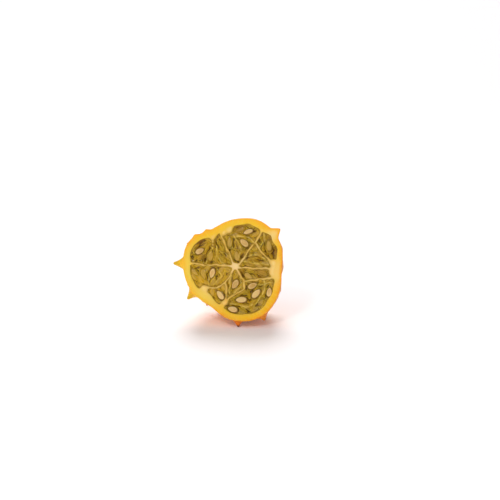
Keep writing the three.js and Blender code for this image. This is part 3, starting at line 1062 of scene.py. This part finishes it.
shape = stored(given.outputs["Geometry"], "halo", halo)
shape = stored(shape, "horn", calc(t, "MULTIPLY", up_horn, on_horn))
shape = stored(shape, "age", age)
horned = {"Geometry": shape, "Selection": on_horn, "Offset": move}
shape = add_node(t, "GeometryNodeSetPosition", horned).outputs[0]
position = add_node(t, "GeometryNodeInputPosition").outputs[0]
parts = add_node(t, "ShaderNodeSeparateXYZ", {0: position})
floor_level = calc(t, "MAXIMUM", parts.outputs["Z"], 0.0)
rested = add_node(t, "ShaderNodeCombineXYZ", {0: parts.outputs["X"], 1: parts.outputs["Y"], 2: floor_level})
shape = add_node(t, "GeometryNodeSetPosition", {"Geometry": shape, "Position": rested.outputs[0]}).outputs[0]
shape = add_node(t, "GeometryNodeRealizeInstances", {"Geometry": shape}).outputs[0]
shape = add_node(
    t, "GeometryNodeSetMaterial", {"Geometry": shape, "Material": given.outputs["Skin Material"]}
).outputs[0]
is_cut = calc(t, "GREATER_THAN", named(t, "cut"), 0.5)
shape = add_node(
    t,
    "GeometryNodeSetMaterial",
    {"Geometry": shape, "Selection": is_cut, "Material": given.outputs["Flesh Material"]},
).outputs[0]
add_node(t, "NodeGroupOutput", {"Geometry": shape})
print("horn tree has", len(t.nodes), "nodes")

# %% Run the horn tree
rind = run_tree(
    rind_grid,
    horn_tree,
    {
        "Horn Points": horn_carrier,
        "Reach": 6.0 * MM,
        "Cut Reach": 7.0,
        "Tip Radius": 1.1 * MM,
        "Halo Reach": 10.0 * MM,
        "Slide": 1.7,
        "Skin Material": skin_material,
        "Flesh Material": flesh_material,
    },
    "rind_with_horns",
)
bpy.data.objects.remove(horn_carrier)
print("rind:", len(rind.data.polygons), "faces,", len(rind.data.materials), "materials")

# %% [markdown]
# ## Seeds and their sacs
# Each seed sits in its own sac of jelly, pointed at one end. The seeds that the photograph shows are
# listed: place, heading of the pointed end, length, width, and how far the seed stands out of
# the jelly. Below zero it lies that deep under the surface and shimmers through, the fainter the deeper.

# %% The seeds
SEEDS = [
    (10.2, 26.4, 199, 7.2, 3.4, 0.7),
    (4.6, 27.8, 200, 7.4, 2.4, -1.2),
    (7.6, 18.6, 140, 7.4, 4.2, 0.35),
    (25.0, 16.9, 100, 7.8, 3.8, -0.5),
    (2.8, 9.2, 100, 7.4, 3.8, -0.6),
    (-2.6, 18.8, 92, 7.2, 3.4, -0.5),
    (-8.6, 15.6, 118, 7.2, 3.4, -1.6),
    (-23.6, 12.2, 28, 6.8, 3.9, 0.4),
    (-15.8, 9.0, 80, 7.6, 3.6, -0.7),
    (-7.2, 7.0, 125, 7.6, 3.4, -1.6),
    (-14.3, -3.3, 255, 7.6, 3.9, 0.5),
    (-20.4, -4.0, 285, 7.6, 3.6, -0.9),
    (-26.6, -3.0, 320, 6.0, 2.7, -0.7),
    (-8.0, -18.4, 130, 7.6, 4.3, 0.95),
    (2.1, -10.6, 240, 7.4, 4.2, 0.25),
    (6.6, -21.4, 183, 8.0, 4.2, 0.6),
    (0.8, -28.2, 168, 7.4, 4.0, 0.5),
    (14.2, -11.4, 25, 7.2, 4.1, 0.2),
    (17.0, -16.8, 48, 8.0, 4.2, 0.65),
    (26.2, -15.6, 85, 6.8, 3.9, 0.45),
    (20.4, -22.8, 50, 5.8, 2.9, -0.7),
    (11.2, -4.6, 330, 6.4, 3.5, -0.4),
    (15.4, 7.6, 170, 7.4, 3.2, -1.8),
    (21.0, -2.4, 165, 7.0, 3.0, -1.4),
]
DEEPEST_SEEN = 1.7
SAC_END = 1.5
SAC_SIDE = 0.95
SHOWN_SEED_TOP = -0.75
SUNK_SEED_TOP = -0.5


def seed_sacs():
    """One sac round each listed seed: x, y, heading, half length, half width, top."""
    sacs = []
    for x, y, heading, length, width, rise in SEEDS:
        top = SHOWN_SEED_TOP if rise > 0 else SUNK_SEED_TOP
        sacs.append((x, y, math.radians(heading), length / 2 + SAC_END, width / 2 + SAC_SIDE, top))
    return sacs


print("seeds listed:", len(SEEDS))

# %% [markdown]
# Between the listed seeds the chambers are packed with more sacs, each about along its neighbour. They
# are drawn at random, large ones first, and kept where they fit: the seeded generator gives the same
# packing every time. Each size is given as half length, half width, the room kept between middles, as
# a share of the sac, and how many times a place is tried.

# %% Sacs that fill the gaps
FILLER_SIZES = [(4.8, 2.2, 1.22, 1500), (3.6, 1.5, 1.12, 2500), (2.6, 1.0, 1.05, 4000)]
FIELD = 36
HIGHEST_FILLER = -0.4
LOWEST_FILLER = -1.0
FILLER_TURN = 0.35


def sac_share(points, sac):
    """How far out in a sac points lie: 0 at its middle, 1 at its edge; and place along and across."""
    x, y, heading, half_length, half_width, _ = sac
    offset = np.asarray(points, float) - (x, y)
    along = (offset[..., 0] * math.cos(heading) + offset[..., 1] * math.sin(heading)) / half_length
    across = (offset[..., 1] * math.cos(heading) - offset[..., 0] * math.sin(heading)) / half_width
    narrowing = np.clip(1 - 0.3 * along, 0.4, 1.5)
    return np.sqrt(along**2 + (across / narrowing) ** 2), along * half_length, across * half_width


def filler_sacs(sacs):
    draw = np.random.default_rng(5)
    listed = np.array([(sac[0], sac[1]) for sac in sacs])
    filled = list(sacs)
    for half_length, half_width, room, tries in FILLER_SIZES:
        for _ in range(tries):
            spot = draw.uniform(-FIELD, FIELD, 2)
            turn = draw.normal(0, FILLER_TURN)
            top = draw.uniform(LOWEST_FILLER, HIGHEST_FILLER)
            near = int(np.argmin(np.linalg.norm(listed - spot, axis=1)))
            heading = sacs[near][2] + turn
            along = np.array([math.cos(heading), math.sin(heading)]) * half_length
            ends = spot + np.outer((-0.75, 0, 0.75), along)
            if flesh_distance(ends).min() < -0.8 or flesh_distance(spot) < 0.4 * half_width:
                continue
            if any(sac_share(spot, sac)[0] < room for sac in filled):
                continue
            filled.append((spot[0], spot[1], heading, half_length, half_width, top))
    return filled


sacs = filler_sacs(seed_sacs())
print("sacs:", len(sacs))

# %% [markdown]
# ## The pulp
# The pulp is a closed slab in the rind's pockets, with the partitions standing out of it. Its top is a
# landscape: each sac is a low dome, the highest dome wins, and a soft maximum rounds the creases
# between them. Along the flesh the jelly climbs almost to the cut, and a few larger membranes stand
# out as fine pale ridges, their pale colour partly a painted highlight, drawn where the photograph
# shows them. So are the gaps between sacs, painted dark as shade, each given as a place, a heading,
# half its length and half its width. With each point go its sac's own coordinates, for fibres along
# the sac, and how near the middle of the sac it is, for the pale edge and the dark crease, which is
# painted shade.

# %% Surface of the pulp
MEMBRANES = [
    [(-11.8, 16.0), (-11.2, 9.7), (-8.8, 4.9), (-5.0, 3.4)],
    [(-14.4, 15.0), (-18.0, 8.5), (-18.6, 3.6)],
    [(-16.6, -5.5), (-16.4, -12.2)],
    [(-10.6, -0.2), (-7.6, -5.0), (-12.6, -11.0)],
    [(-0.8, -24.4), (4.6, -24.9), (10.6, -26.6), (14.6, -24.4)],
    [(0.2, 23.6), (5.2, 16.0), (4.6, 8.6)],
    [(2.6, 23.4), (9.0, 23.2), (14.6, 19.2)],
    [(18.4, 15.4), (21.4, 19.4), (21.6, 25.0)],
    [(6.8, 5.6), (15.0, 4.6), (24.6, 4.0)],
    [(9.0, 9.4), (17.0, 10.8), (22.4, 7.6)],
    [(-0.6, -4.0), (-2.2, -9.8), (-1.6, -17.0)],
    [(5.4, -5.6), (6.2, -12.0), (0.6, -17.6)],
    [(22.6, -7.6), (23.0, -14.4), (19.0, -20.0), (16.0, -26.4)],
    [(10.4, -8.6), (20.0, -11.0), (27.6, -8.8)],
]
MEMBRANE_WIDTH = 0.4
MEMBRANE_RISE = 0.3
MEMBRANE_WAVER = 0.18
GAPS = [
    (6.4, 9.4, 80, 2.8, 1.1),
    (10.4, 8.8, 75, 2.8, 0.9),
    (3.0, 5.6, 150, 2.2, 0.7),
    (18.0, 20.4, 110, 2.2, 1.2),
    (21.8, 18.6, 95, 3.2, 0.5),
    (22.6, 13.6, 115, 2.6, 0.5),
    (28.2, 12.6, 95, 5.4, 0.8),
    (18.8, 6.6, 175, 3.0, 0.6),
    (9.8, 2.2, 0, 2.4, 0.6),
    (11.8, 15.4, 30, 2.8, 0.8),
    (10.6, 22.4, 150, 3.0, 0.5),
    (14.8, 27.0, 140, 1.6, 0.8),
    (2.6, 16.2, 110, 2.6, 0.5),
    (-0.2, 17.4, 95, 3.0, 0.5),
    (-2.2, 13.6, 20, 1.2, 0.7),
    (-5.6, 10.0, 120, 2.4, 0.6),
    (-11.2, 16.4, 110, 3.2, 0.5),
    (-9.6, 20.4, 100, 1.6, 0.8),
    (-17.2, 13.2, 66, 3.4, 0.5),
    (-22.8, 16.2, 28, 4.6, 0.6),
    (-19.2, 6.6, 80, 2.0, 0.8),
    (-14.4, 5.0, 20, 2.0, 0.7),
    (-28.4, 8.0, 80, 2.0, 0.9),
    (-24.6, 0.4, 10, 2.6, 0.6),
    (-17.6, -3.6, 85, 3.2, 0.5),
    (-10.8, -5.6, 75, 2.8, 0.5),
    (7.5, -4.5, 120, 1.9, 1.1),
    (14.8, -3.6, 330, 3.0, 0.5),
    (9.6, -12.6, 100, 2.4, 0.7),
    (14.2, -14.6, 50, 2.6, 0.6),
    (20.8, -11.0, 30, 3.4, 0.6),
    (25.3, -9.8, 60, 1.1, 0.5),
    (8.0, -18.2, 5, 2.8, 0.6),
    (11.6, -20.8, 110, 2.2, 0.6),
    (18.6, -24.4, 40, 2.4, 1.0),
    (23.4, -18.6, 70, 2.2, 0.5),
    (-0.2, -25.0, 345, 3.2, 0.45),
    (4.9, -28.6, 100, 1.8, 0.5),
    (10.8, -28.6, 150, 1.6, 0.8),
    (-0.4, -7.4, 100, 1.8, 0.6),
]
GAP_DEPTH = 0.5
GAP_WAVER = 0.25
CREASE_EDGE = 0.25
CREASE_LEVEL = -1.6
SAC_DOME = 1.1
WALL_LEVEL = -0.25
WALL_SLOPE = 0.7
SOFTNESS = 0.12
PULP_BOTTOM = -5.4
PULP_OVERLAP = 1.2
PULP_COUNT = 640
PULP_STEP = 0.31


def membrane_distance(points):
    """How far a point lies from the nearest of the larger membranes."""
    bent = points + MEMBRANE_WAVER * np.stack([ripple(points, 7, 41), ripple(points, 7, 42)], axis=-1)
    lines = [segment_distance(bent, a, b) for line in MEMBRANES for a, b in zip(line, line[1:])]
    return np.min(lines, axis=0)


def membrane(points):
    """How much a point lies on one of the larger membranes, from 0 to 1."""
    return np.exp(-((membrane_distance(points) / MEMBRANE_WIDTH) ** 2))


def shaded_gap(points):
    """How much a point lies in one of the gaps between sacs, from 0 to 1; the material paints the gaps dark
    as shade.
    """
    bent = points + GAP_WAVER * np.stack([ripple(points, 4, 51), ripple(points, 4, 52)], axis=-1)
    depth_and_shade = np.zeros(len(points))
    for x, y, heading, half_length, half_width in GAPS:
        share = sac_share(bent, (x, y, math.radians(heading), half_length, half_width, 0))[0]
        depth_and_shade = np.maximum(depth_and_shade, 1 - smoothstep(share, 0.4, 1.3))
    return depth_and_shade


def pulp_surface(points):
    """Height of the pulp, share to its sac's edge, and coordinates within the sac."""
    at_wall = WALL_LEVEL - WALL_SLOPE * np.maximum(flesh_distance(points), 0)
    base = np.maximum(CREASE_LEVEL + 0.15 * ripple(points, 4, 31), at_wall)
    levels = [base]
    best = np.full(len(points), -np.inf)
    swell = np.zeros(len(points))
    grain = np.column_stack([points, np.zeros(len(points))])
    for number, sac in enumerate(sacs):
        share, along, across = sac_share(points, sac)
        dome = np.sqrt(np.clip(1 - share**2, 0, 1))
        level = np.where(share < 1, sac[5] - SAC_DOME * (1 - dome), -np.inf)
        wins = level > best
        best = np.where(wins, level, best)
        swell = np.where(wins, dome, swell)
        grain[wins] = np.column_stack([along, across, np.full(len(points), number * 9.7)])[wins]
        levels.append(level)
    soft = SOFTNESS * np.log(np.exp(np.array(levels) / SOFTNESS).sum(axis=0))
    relief = 0.05 * ripple(grain[:, :2] * (0.6, 1.6), 2.2, 32) + MEMBRANE_RISE * membrane(points)
    relief -= GAP_DEPTH * shaded_gap(points)
    return soft + relief, swell * smoothstep(best - base, 0, CREASE_EDGE), grain


pulp_rows = int(MEAN_RADIUS / PULP_STEP)
pulp_shares = 1 - np.arange(0, pulp_rows) / pulp_rows
rings = [np.array([[*CORE, PULP_BOTTOM]])]
counts = []
for share in [1.0, *pulp_shares]:
    count = ring_count((MEAN_RADIUS - WALL) * share, PULP_COUNT, MEAN_RADIUS - WALL)
    angles = ring_angles(count)
    radius = (outline_radius(angles) - wall_thickness(angles) + PULP_OVERLAP) * share
    flat = np.stack([radius * np.cos(angles), radius * np.sin(angles)], axis=-1) + (1 - share) * CORE
    rings.append(np.column_stack([flat, np.full(count, PULP_BOTTOM)]))
    counts.append(count)
rings.append(np.array([[*CORE, PULP_BOTTOM]]))
pulp_points = np.concatenate(rings)
top_start = 1 + counts[0]
heights, swells, grains = pulp_surface(pulp_points[top_start:, :2])
pulp_points[top_start:, 2] = heights
print("pulp heights from", heights.min().round(2), "to", heights.max().round(2), "mm")

# %% [markdown]
# Seeds under the jelly show only as paler ovals, and round every seed the jelly is painted darker, as
# shade. Both are stored with the points as numbers, as are places where the jelly is more golden than
# elsewhere and places painted browner as shade, each given as a place, a spread and a strength.

# %% Ghosts of sunk seeds, and the pulp mesh
HIDDEN_SEED_SAC = 4.0
HIDDEN_SEED_SHARE = 0.62
FLANK_FROM_LINE = 1.3
FLANK_WIDTH = 0.5
# Patches of painted shade, brown, along the walls and between sacs.
BROWN_SHADE_PLACES = [
    (-24.0, 19.8, 2.6, 0.8),
    (-20.5, 7.5, 2.0, 0.6),
    (28.8, 13.0, 2.6, 0.75),
    (25.5, 22.0, 2.2, 0.4),
    (4.0, 28.6, 2.8, 0.6),
    (20.0, -3.0, 3.0, 0.45),
    (7.0, -2.0, 1.8, 0.5),
    (14.0, -8.0, 1.6, 0.4),
    (17.0, 7.0, 3.6, 0.3),
    (4.0, 12.5, 2.6, 0.2),
]
GOLDEN_PLACES = [
    (-23.0, -8.0, 4.0, 0.9),
    (-17.0, -9.5, 4.0, 0.7),
    (-13.0, -17.0, 3.4, 0.8),
    (-8.0, -15.0, 2.6, 0.6),
    (1.0, -8.5, 3.4, 0.5),
    (18.0, -2.5, 3.0, 0.35),
    (15.5, -17.5, 4.4, 0.5),
    (5.0, 24.0, 3.2, 0.4),
    (-7.0, 3.6, 3.0, 0.5),
    (-6.0, -4.0, 3.0, 0.5),
    (-10.5, 12.0, 2.4, 0.5),
    (2.0, -24.0, 3.0, 0.5),
]


def patches_at(points, places):
    """Soft round patches, each with a place, a spread and a strength."""
    return sum(
        strength * np.exp(-np.sum((points - (x, y)) ** 2, axis=1) / (2 * spread**2))
        for x, y, spread, strength in places
    )


def seed_share(points, seed):
    x, y, heading, length, width, _ = seed
    return sac_share(points, (x, y, math.radians(heading), length / 2, width / 2, 0))[0]


flat = pulp_points[:, :2]
ghost = np.zeros(len(flat))
seed_shade_ring = np.zeros(len(flat))
for seed in SEEDS:
    share = seed_share(flat, seed)
    rise = seed[5]
    strength = 0 if rise > 0 else 0.8 * max(0, 1 + rise / DEEPEST_SEEN)
    ghost = np.maximum(ghost, strength * (1 - smoothstep(share, 0.75, 1.0)))
    # A ring of painted shade round each seed, weaker round sunk ones.
    ring = smoothstep(share, 0.85, 1.03) * (1 - smoothstep(share, 1.1, 1.35))
    seed_shade_ring = np.maximum(seed_shade_ring, ring * (0.5 if rise < 0 else 1))
draw = np.random.default_rng(8)
for sac in sacs[len(SEEDS):]:
    if sac[3] > HIDDEN_SEED_SAC:
        share = sac_share(flat, sac)[0] / HIDDEN_SEED_SHARE
        ghost = np.maximum(ghost, draw.uniform(0.05, 0.4) * (1 - smoothstep(share, 0.7, 1.0)))
pulp_mesh = bpy.data.meshes.new("pulp")
pulp_mesh.from_pydata(placed(pulp_points).tolist(), [], stitch(counts))
underside = np.zeros(top_start)
set_attribute(pulp_mesh, "swell", np.concatenate([underside, swells]))
set_attribute(pulp_mesh, "ghost", ghost)
set_attribute(pulp_mesh, "seed_shade_ring", seed_shade_ring)
set_attribute(pulp_mesh, "membrane", membrane(flat))
set_attribute(pulp_mesh, "shaded_gap", shaded_gap(flat))
from_flank = (membrane_distance(flat) - FLANK_FROM_LINE) / FLANK_WIDTH
set_attribute(pulp_mesh, "flank", np.exp(-(from_flank**2)))
set_attribute(pulp_mesh, "brown_shade", patches_at(flat, BROWN_SHADE_PLACES))
set_attribute(pulp_mesh, "golden", patches_at(flat, GOLDEN_PLACES))
set_attribute(pulp_mesh, "wall", flesh_distance(flat))
set_attribute(pulp_mesh, "grain", np.concatenate([np.zeros((top_start, 3)), grains]), "FLOAT_VECTOR")
pulp_mesh.shade_smooth()
pulp = new_object("pulp_with_sacs", pulp_mesh)
print("pulp:", len(pulp_mesh.polygons), "faces")

# %% [markdown]
# The jelly is clear green in the sacs and looks brown where it is deep. A truly clear material would
# need the whole inside of the fruit behind it, so this one is opaque and carries the depth as colour:
# dark in the creases, which is painted shade as well as the brown of deep jelly, a pale skin near the
# edge of each sac, green on its dome, with fine fibres along it. A clear coat, smoother than the jelly
# beneath, makes it wet.

# %% Jelly material
jelly_material, tree, shader = new_material("green jelly")
place = add_node(tree, "ShaderNodeTexCoord").outputs["Object"]
grain_place = attribute(tree, "grain", "Vector")
along_sac = {"Vector": grain_place, "Scale": (0.35, 1.6, 1.0)}
long_grain = add_node(tree, "ShaderNodeMapping", along_sac).outputs[0]
uneven = ranged(tree, noise(tree, place, 1.6, 3), 0.2, 0.8, -0.12, 0.12, "LINEAR")
swell = calc(tree, "ADD", attribute(tree, "swell"), uneven)
region = ranged(tree, noise(tree, place, 13, 2), 0.38, 0.62)
green = mixed(tree, region, srgb(178, 142, 12), srgb(144, 122, 10))
green = mixed(tree, ranged(tree, noise(tree, place, 5, 3), 0.35, 0.7), green, srgb(190, 146, 14))
golden = calc(tree, "MULTIPLY", attribute(tree, "golden"), 0.8, clamp=True)
green = mixed(tree, golden, green, srgb(214, 166, 24))
# Painted shade, with the brown of deep jelly: the colour low on the sacs and in the creases.
depth_and_shade = mixed(tree, region, srgb(92, 64, 0), srgb(78, 62, 0))
depth_and_shade = mixed(tree, golden, depth_and_shade, srgb(150, 104, 4))
colour = mixed(tree, ranged(tree, swell, 0.02, 0.4), depth_and_shade, green)
by_wall = calc(tree, "ADD", attribute(tree, "wall"), calc(tree, "MULTIPLY", uneven, 4.0))
by_wall = ranged(tree, by_wall, 0.0, 1.9, 1.0, 0.0)
colour = tinted(tree, colour, by_wall, 0.65, srgb(210, 166, 46))
sac_edge = calc(
    tree,
    "MULTIPLY",
    ranged(tree, swell, 0.20, 0.34),
    ranged(tree, swell, 0.40, 0.62, 1.0, 0.0),
)
sac_edge_share = ranged(tree, noise(tree, place, 4, 2), 0.4, 0.6, 0.15, 0.85)
colour = mixed(tree, calc(tree, "MULTIPLY", sac_edge, sac_edge_share), colour, srgb(236, 206, 74))
fibre = ranged(tree, noise(tree, long_grain, 0.8, 4, 0.6, in_mm=True), 0.50, 0.72)
colour = tinted(tree, colour, fibre, 0.65, srgb(224, 192, 62))
dark_fibre = ranged(tree, noise(tree, long_grain, 1.4, 3, 0.6, in_mm=True), 0.30, 0.48, 1.0, 0.0)
colour = tinted(tree, colour, dark_fibre, 0.72, srgb(84, 62, 0))
# Painted shade: brown patches along the walls and between sacs.
colour = tinted(tree, colour, attribute(tree, "brown_shade"), 0.85, srgb(120, 66, 8))
along_line = ranged(tree, noise(tree, place, 3, 2), 0.35, 0.6, 0.3, 0.9)
flank = calc(tree, "MULTIPLY", attribute(tree, "flank"), along_line)
colour = tinted(tree, colour, flank, 0.3, srgb(96, 72, 2))
# Painted shade: the gaps between sacs are painted dark brown.
colour = tinted(tree, colour, attribute(tree, "shaded_gap"), 0.9, srgb(88, 58, 0))
# Pale lines along the larger membranes: partly the membranes' own colour, partly a painted highlight.
pale_line_and_highlight = calc(tree, "MULTIPLY", attribute(tree, "membrane"), along_line)
colour = tinted(tree, colour, pale_line_and_highlight, 0.8, srgb(240, 212, 104))
colour = mixed(tree, attribute(tree, "ghost"), colour, srgb(204, 168, 88))
# Painted shade: a dark ring in the jelly round every seed.
colour = tinted(tree, colour, attribute(tree, "seed_shade_ring"), 0.7, srgb(84, 60, 4))
tree.links.new(colour, shader.inputs["Base Color"])
relief = bump(tree, noise(tree, long_grain, 0.9, 4, 0.6, in_mm=True), 0.14, 0.6)
relief = bump(tree, noise(tree, place, 1.0, 3), 0.12, 0.5, relief)
tree.links.new(relief, shader.inputs["Normal"])
film = bump(tree, noise(tree, long_grain, 1.7, 2, 0.5, in_mm=True), 0.35, 0.8)
tree.links.new(film, shader.inputs["Coat Normal"])
set_inputs(
    shader,
    Roughness=0.3,
    Specular_IOR_Level=0.02,
    Coat_Weight=0.36,
    Coat_Roughness=0.04,
    Subsurface_Weight=0.12,
    Subsurface_Scale=0.0020,
)
shader.inputs["Subsurface Radius"].default_value = (0.9, 0.8, 0.25)
pulp_mesh.materials.append(jelly_material)
print("jelly material made")

# %% [markdown]
# ## Seeds with Geometry Nodes
# A seed is flat, oval, pointed at one end and thickened along its edge. One seed is modelled in
# code, and a second tree sets a copy on each listed place, turned and scaled by what that place
# carries, before it makes the copies real. The more a seed stands out of the jelly, the paler it is.

# %% One seed
SEED_AROUND = 36
SEED_BANDS = 14
POINTEDNESS = 0.55
NARROWING = 0.24


def seed_mesh():
    """A unit seed along x, half a unit thick, as rings from its underside to its top."""
    rings = [np.array([[0, 0, -0.5]])]
    counts = []
    for band in range(1, SEED_BANDS):
        lift = math.pi * band / SEED_BANDS
        out = math.sin(lift) ** 0.75
        angles = ring_angles(SEED_AROUND)
        x = out * np.cos(angles)
        point = 1 + POINTEDNESS * np.maximum(np.cos(angles), 0)
        y = out * np.sign(np.sin(angles)) * np.abs(np.sin(angles)) ** point * (1 - NARROWING * x)
        thick = 0.5 * abs(math.cos(lift)) ** 0.9 * (1 + 0.35 * smoothstep(out, 0.55, 0.85))
        rings.append(np.column_stack([x, y, np.full(SEED_AROUND, -math.copysign(thick, math.cos(lift)))]))
        counts.append(SEED_AROUND)
    rings.append(np.array([[0, 0, 0.5]]))
    points = np.concatenate(rings)
    mesh = bpy.data.meshes.new("one seed")
    mesh.from_pydata(points.tolist(), [], stitch(counts))
    set_attribute(mesh, "seed_edge", np.clip(np.hypot(points[:, 0], points[:, 1]), 0, 1))
    set_attribute(mesh, "seed_place", points, "FLOAT_VECTOR")
    return mesh


seed_pattern = new_object("one seed", seed_mesh())
print("one seed:", len(seed_pattern.data.polygons), "faces")

# %% Seed material
seed_material, tree, shader = new_material("cream seed")
seed_place = attribute(tree, "seed_place", "Vector")
number = attribute(tree, "seed_number")
own_place = add_node(tree, "ShaderNodeCombineXYZ", {2: number}).outputs[0]
own_place = vector_calc(tree, "ADD", seed_place, own_place)
body = ranged(tree, noise(tree, own_place, 0.9, 3, in_mm=True), 0.3, 0.7)
colour = mixed(tree, body, srgb(214, 174, 98), srgb(188, 146, 68))
tone = ranged(tree, attribute(tree, "seed_rise"), 0.0002, 0.00065, 0.0, 0.6)
colour = mixed(tree, tone, colour, srgb(238, 206, 134))
from_middle = attribute(tree, "seed_edge")
# A pale ring on each seed's thickened edge, a painted highlight.
rim_start = ranged(tree, from_middle, 0.56, 0.72)
rim_end = ranged(tree, from_middle, 0.76, 0.9, 1.0, 0.0)
rim_highlight = calc(tree, "MULTIPLY", rim_start, rim_end)
colour = tinted(tree, colour, rim_highlight, 0.4, srgb(244, 214, 150))
colour = mixed(tree, ranged(tree, from_middle, 0.84, 1.0, 0.0, 0.8), colour, srgb(150, 108, 44))
speckle = ranged(tree, noise(tree, own_place, 0.14, 3, in_mm=True), 0.58, 0.74)
colour = tinted(tree, colour, speckle, 0.35, srgb(160, 118, 58))
tree.links.new(colour, shader.inputs["Base Color"])
relief = bump(tree, noise(tree, own_place, 0.3, 3, in_mm=True), 0.06, 0.5)
tree.links.new(relief, shader.inputs["Normal"])
set_inputs(
    shader,
    Roughness=0.34,
    Specular_IOR_Level=0.15,
    Coat_Weight=0.3,
    Coat_Roughness=0.06,
    Subsurface_Weight=0.15,
    Subsurface_Scale=0.001,
)
print("seed material made")

# %% The seed tree
seed_tree, given = new_geometry_tree("set seeds", {"Seed": "Object", "Seed Material": "Material"})
t = seed_tree
pattern = add_node(t, "GeometryNodeObjectInfo", {"Object": given.outputs["Seed"]}).outputs["Geometry"]
turn = named(t, "turn", "FLOAT_VECTOR")
turn = add_node(t, "FunctionNodeEulerToRotation", {0: turn}).outputs[0]
seed_at_point = {"Points": given.outputs["Geometry"], "Instance": pattern}
copies = add_node(t, "GeometryNodeInstanceOnPoints", seed_at_point)
t.links.new(turn, socket(copies.inputs, "Rotation"))
t.links.new(named(t, "scale", "FLOAT_VECTOR"), socket(copies.inputs, "Scale"))
shape = add_node(t, "GeometryNodeRealizeInstances", {"Geometry": copies.outputs[0]}).outputs[0]
shape = add_node(
    t, "GeometryNodeSetMaterial", {"Geometry": shape, "Material": given.outputs["Seed Material"]}
).outputs[0]
add_node(t, "NodeGroupOutput", {"Geometry": shape})

SEED_THICKNESS = 1.9
draw = np.random.default_rng(3)
shown = [seed for seed in SEEDS if seed[5] > 0]
centres, turns, scales = [], [], []
for x, y, heading, length, width, rise in shown:
    level = pulp_surface(np.array([[x, y]]))[0][0]
    centres.append((x, y, level + rise - SEED_THICKNESS / 2))
    angle = math.radians(heading)
    pitch, roll = draw.normal(0, 0.07), draw.normal(0, 0.14)
    axis_x = turned(np.array([math.cos(angle), math.sin(angle), pitch]))
    axis_z = turned(np.array([-roll * math.sin(angle), roll * math.cos(angle), 1.0]))
    axis_x = Vector(axis_x).normalized()
    axis_y = Vector(axis_z).cross(axis_x).normalized()
    axis_z = axis_x.cross(axis_y)
    rows = [[axis_x[i], axis_y[i], axis_z[i]] for i in range(3)]
    turns.append(tuple(Matrix(rows).to_euler()))
    scales.append((length / 2 * MM, width / 2 * MM, SEED_THICKNESS * MM))
seed_points = bpy.data.meshes.new("seed points")
seed_points.from_pydata(placed(np.array(centres)).tolist(), [], [])
set_attribute(seed_points, "turn", turns, "FLOAT_VECTOR")
set_attribute(seed_points, "scale", scales, "FLOAT_VECTOR")
set_attribute(seed_points, "seed_number", np.arange(len(shown)) * 5.3)
set_attribute(seed_points, "seed_rise", [seed[5] * MM for seed in shown])
seed_holder = new_object("seed points", seed_points)
seeds = run_tree(seed_holder, seed_tree, {"Seed": seed_pattern, "Seed Material": seed_material}, "seeds")
bpy.data.objects.remove(seed_pattern)
print("seeds shown:", len(shown), "with", len(seeds.data.polygons), "faces")

# %% [markdown]
# ## Handing the pieces over
# Each piece rides on the model's one body, and the rind and pulp of the solid model are hidden, so
# that only the finer pieces show.

# %% Pieces and bodies
for piece, slot in ((rind, "rind"), (pulp, "pulp"), (seeds, "seed")):
    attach(piece, "root")
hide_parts("rind")
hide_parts(*PULP_NODES)
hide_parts(*PULP_NODES)
print("pieces:", rind.name, pulp.name, seeds.name)

# %% Sizes, and the end
bpy.context.view_layer.update()
sizes = {
    "cad": [list(corner) for corner in cad_box],
    "visual": [list(corner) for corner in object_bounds()],
}
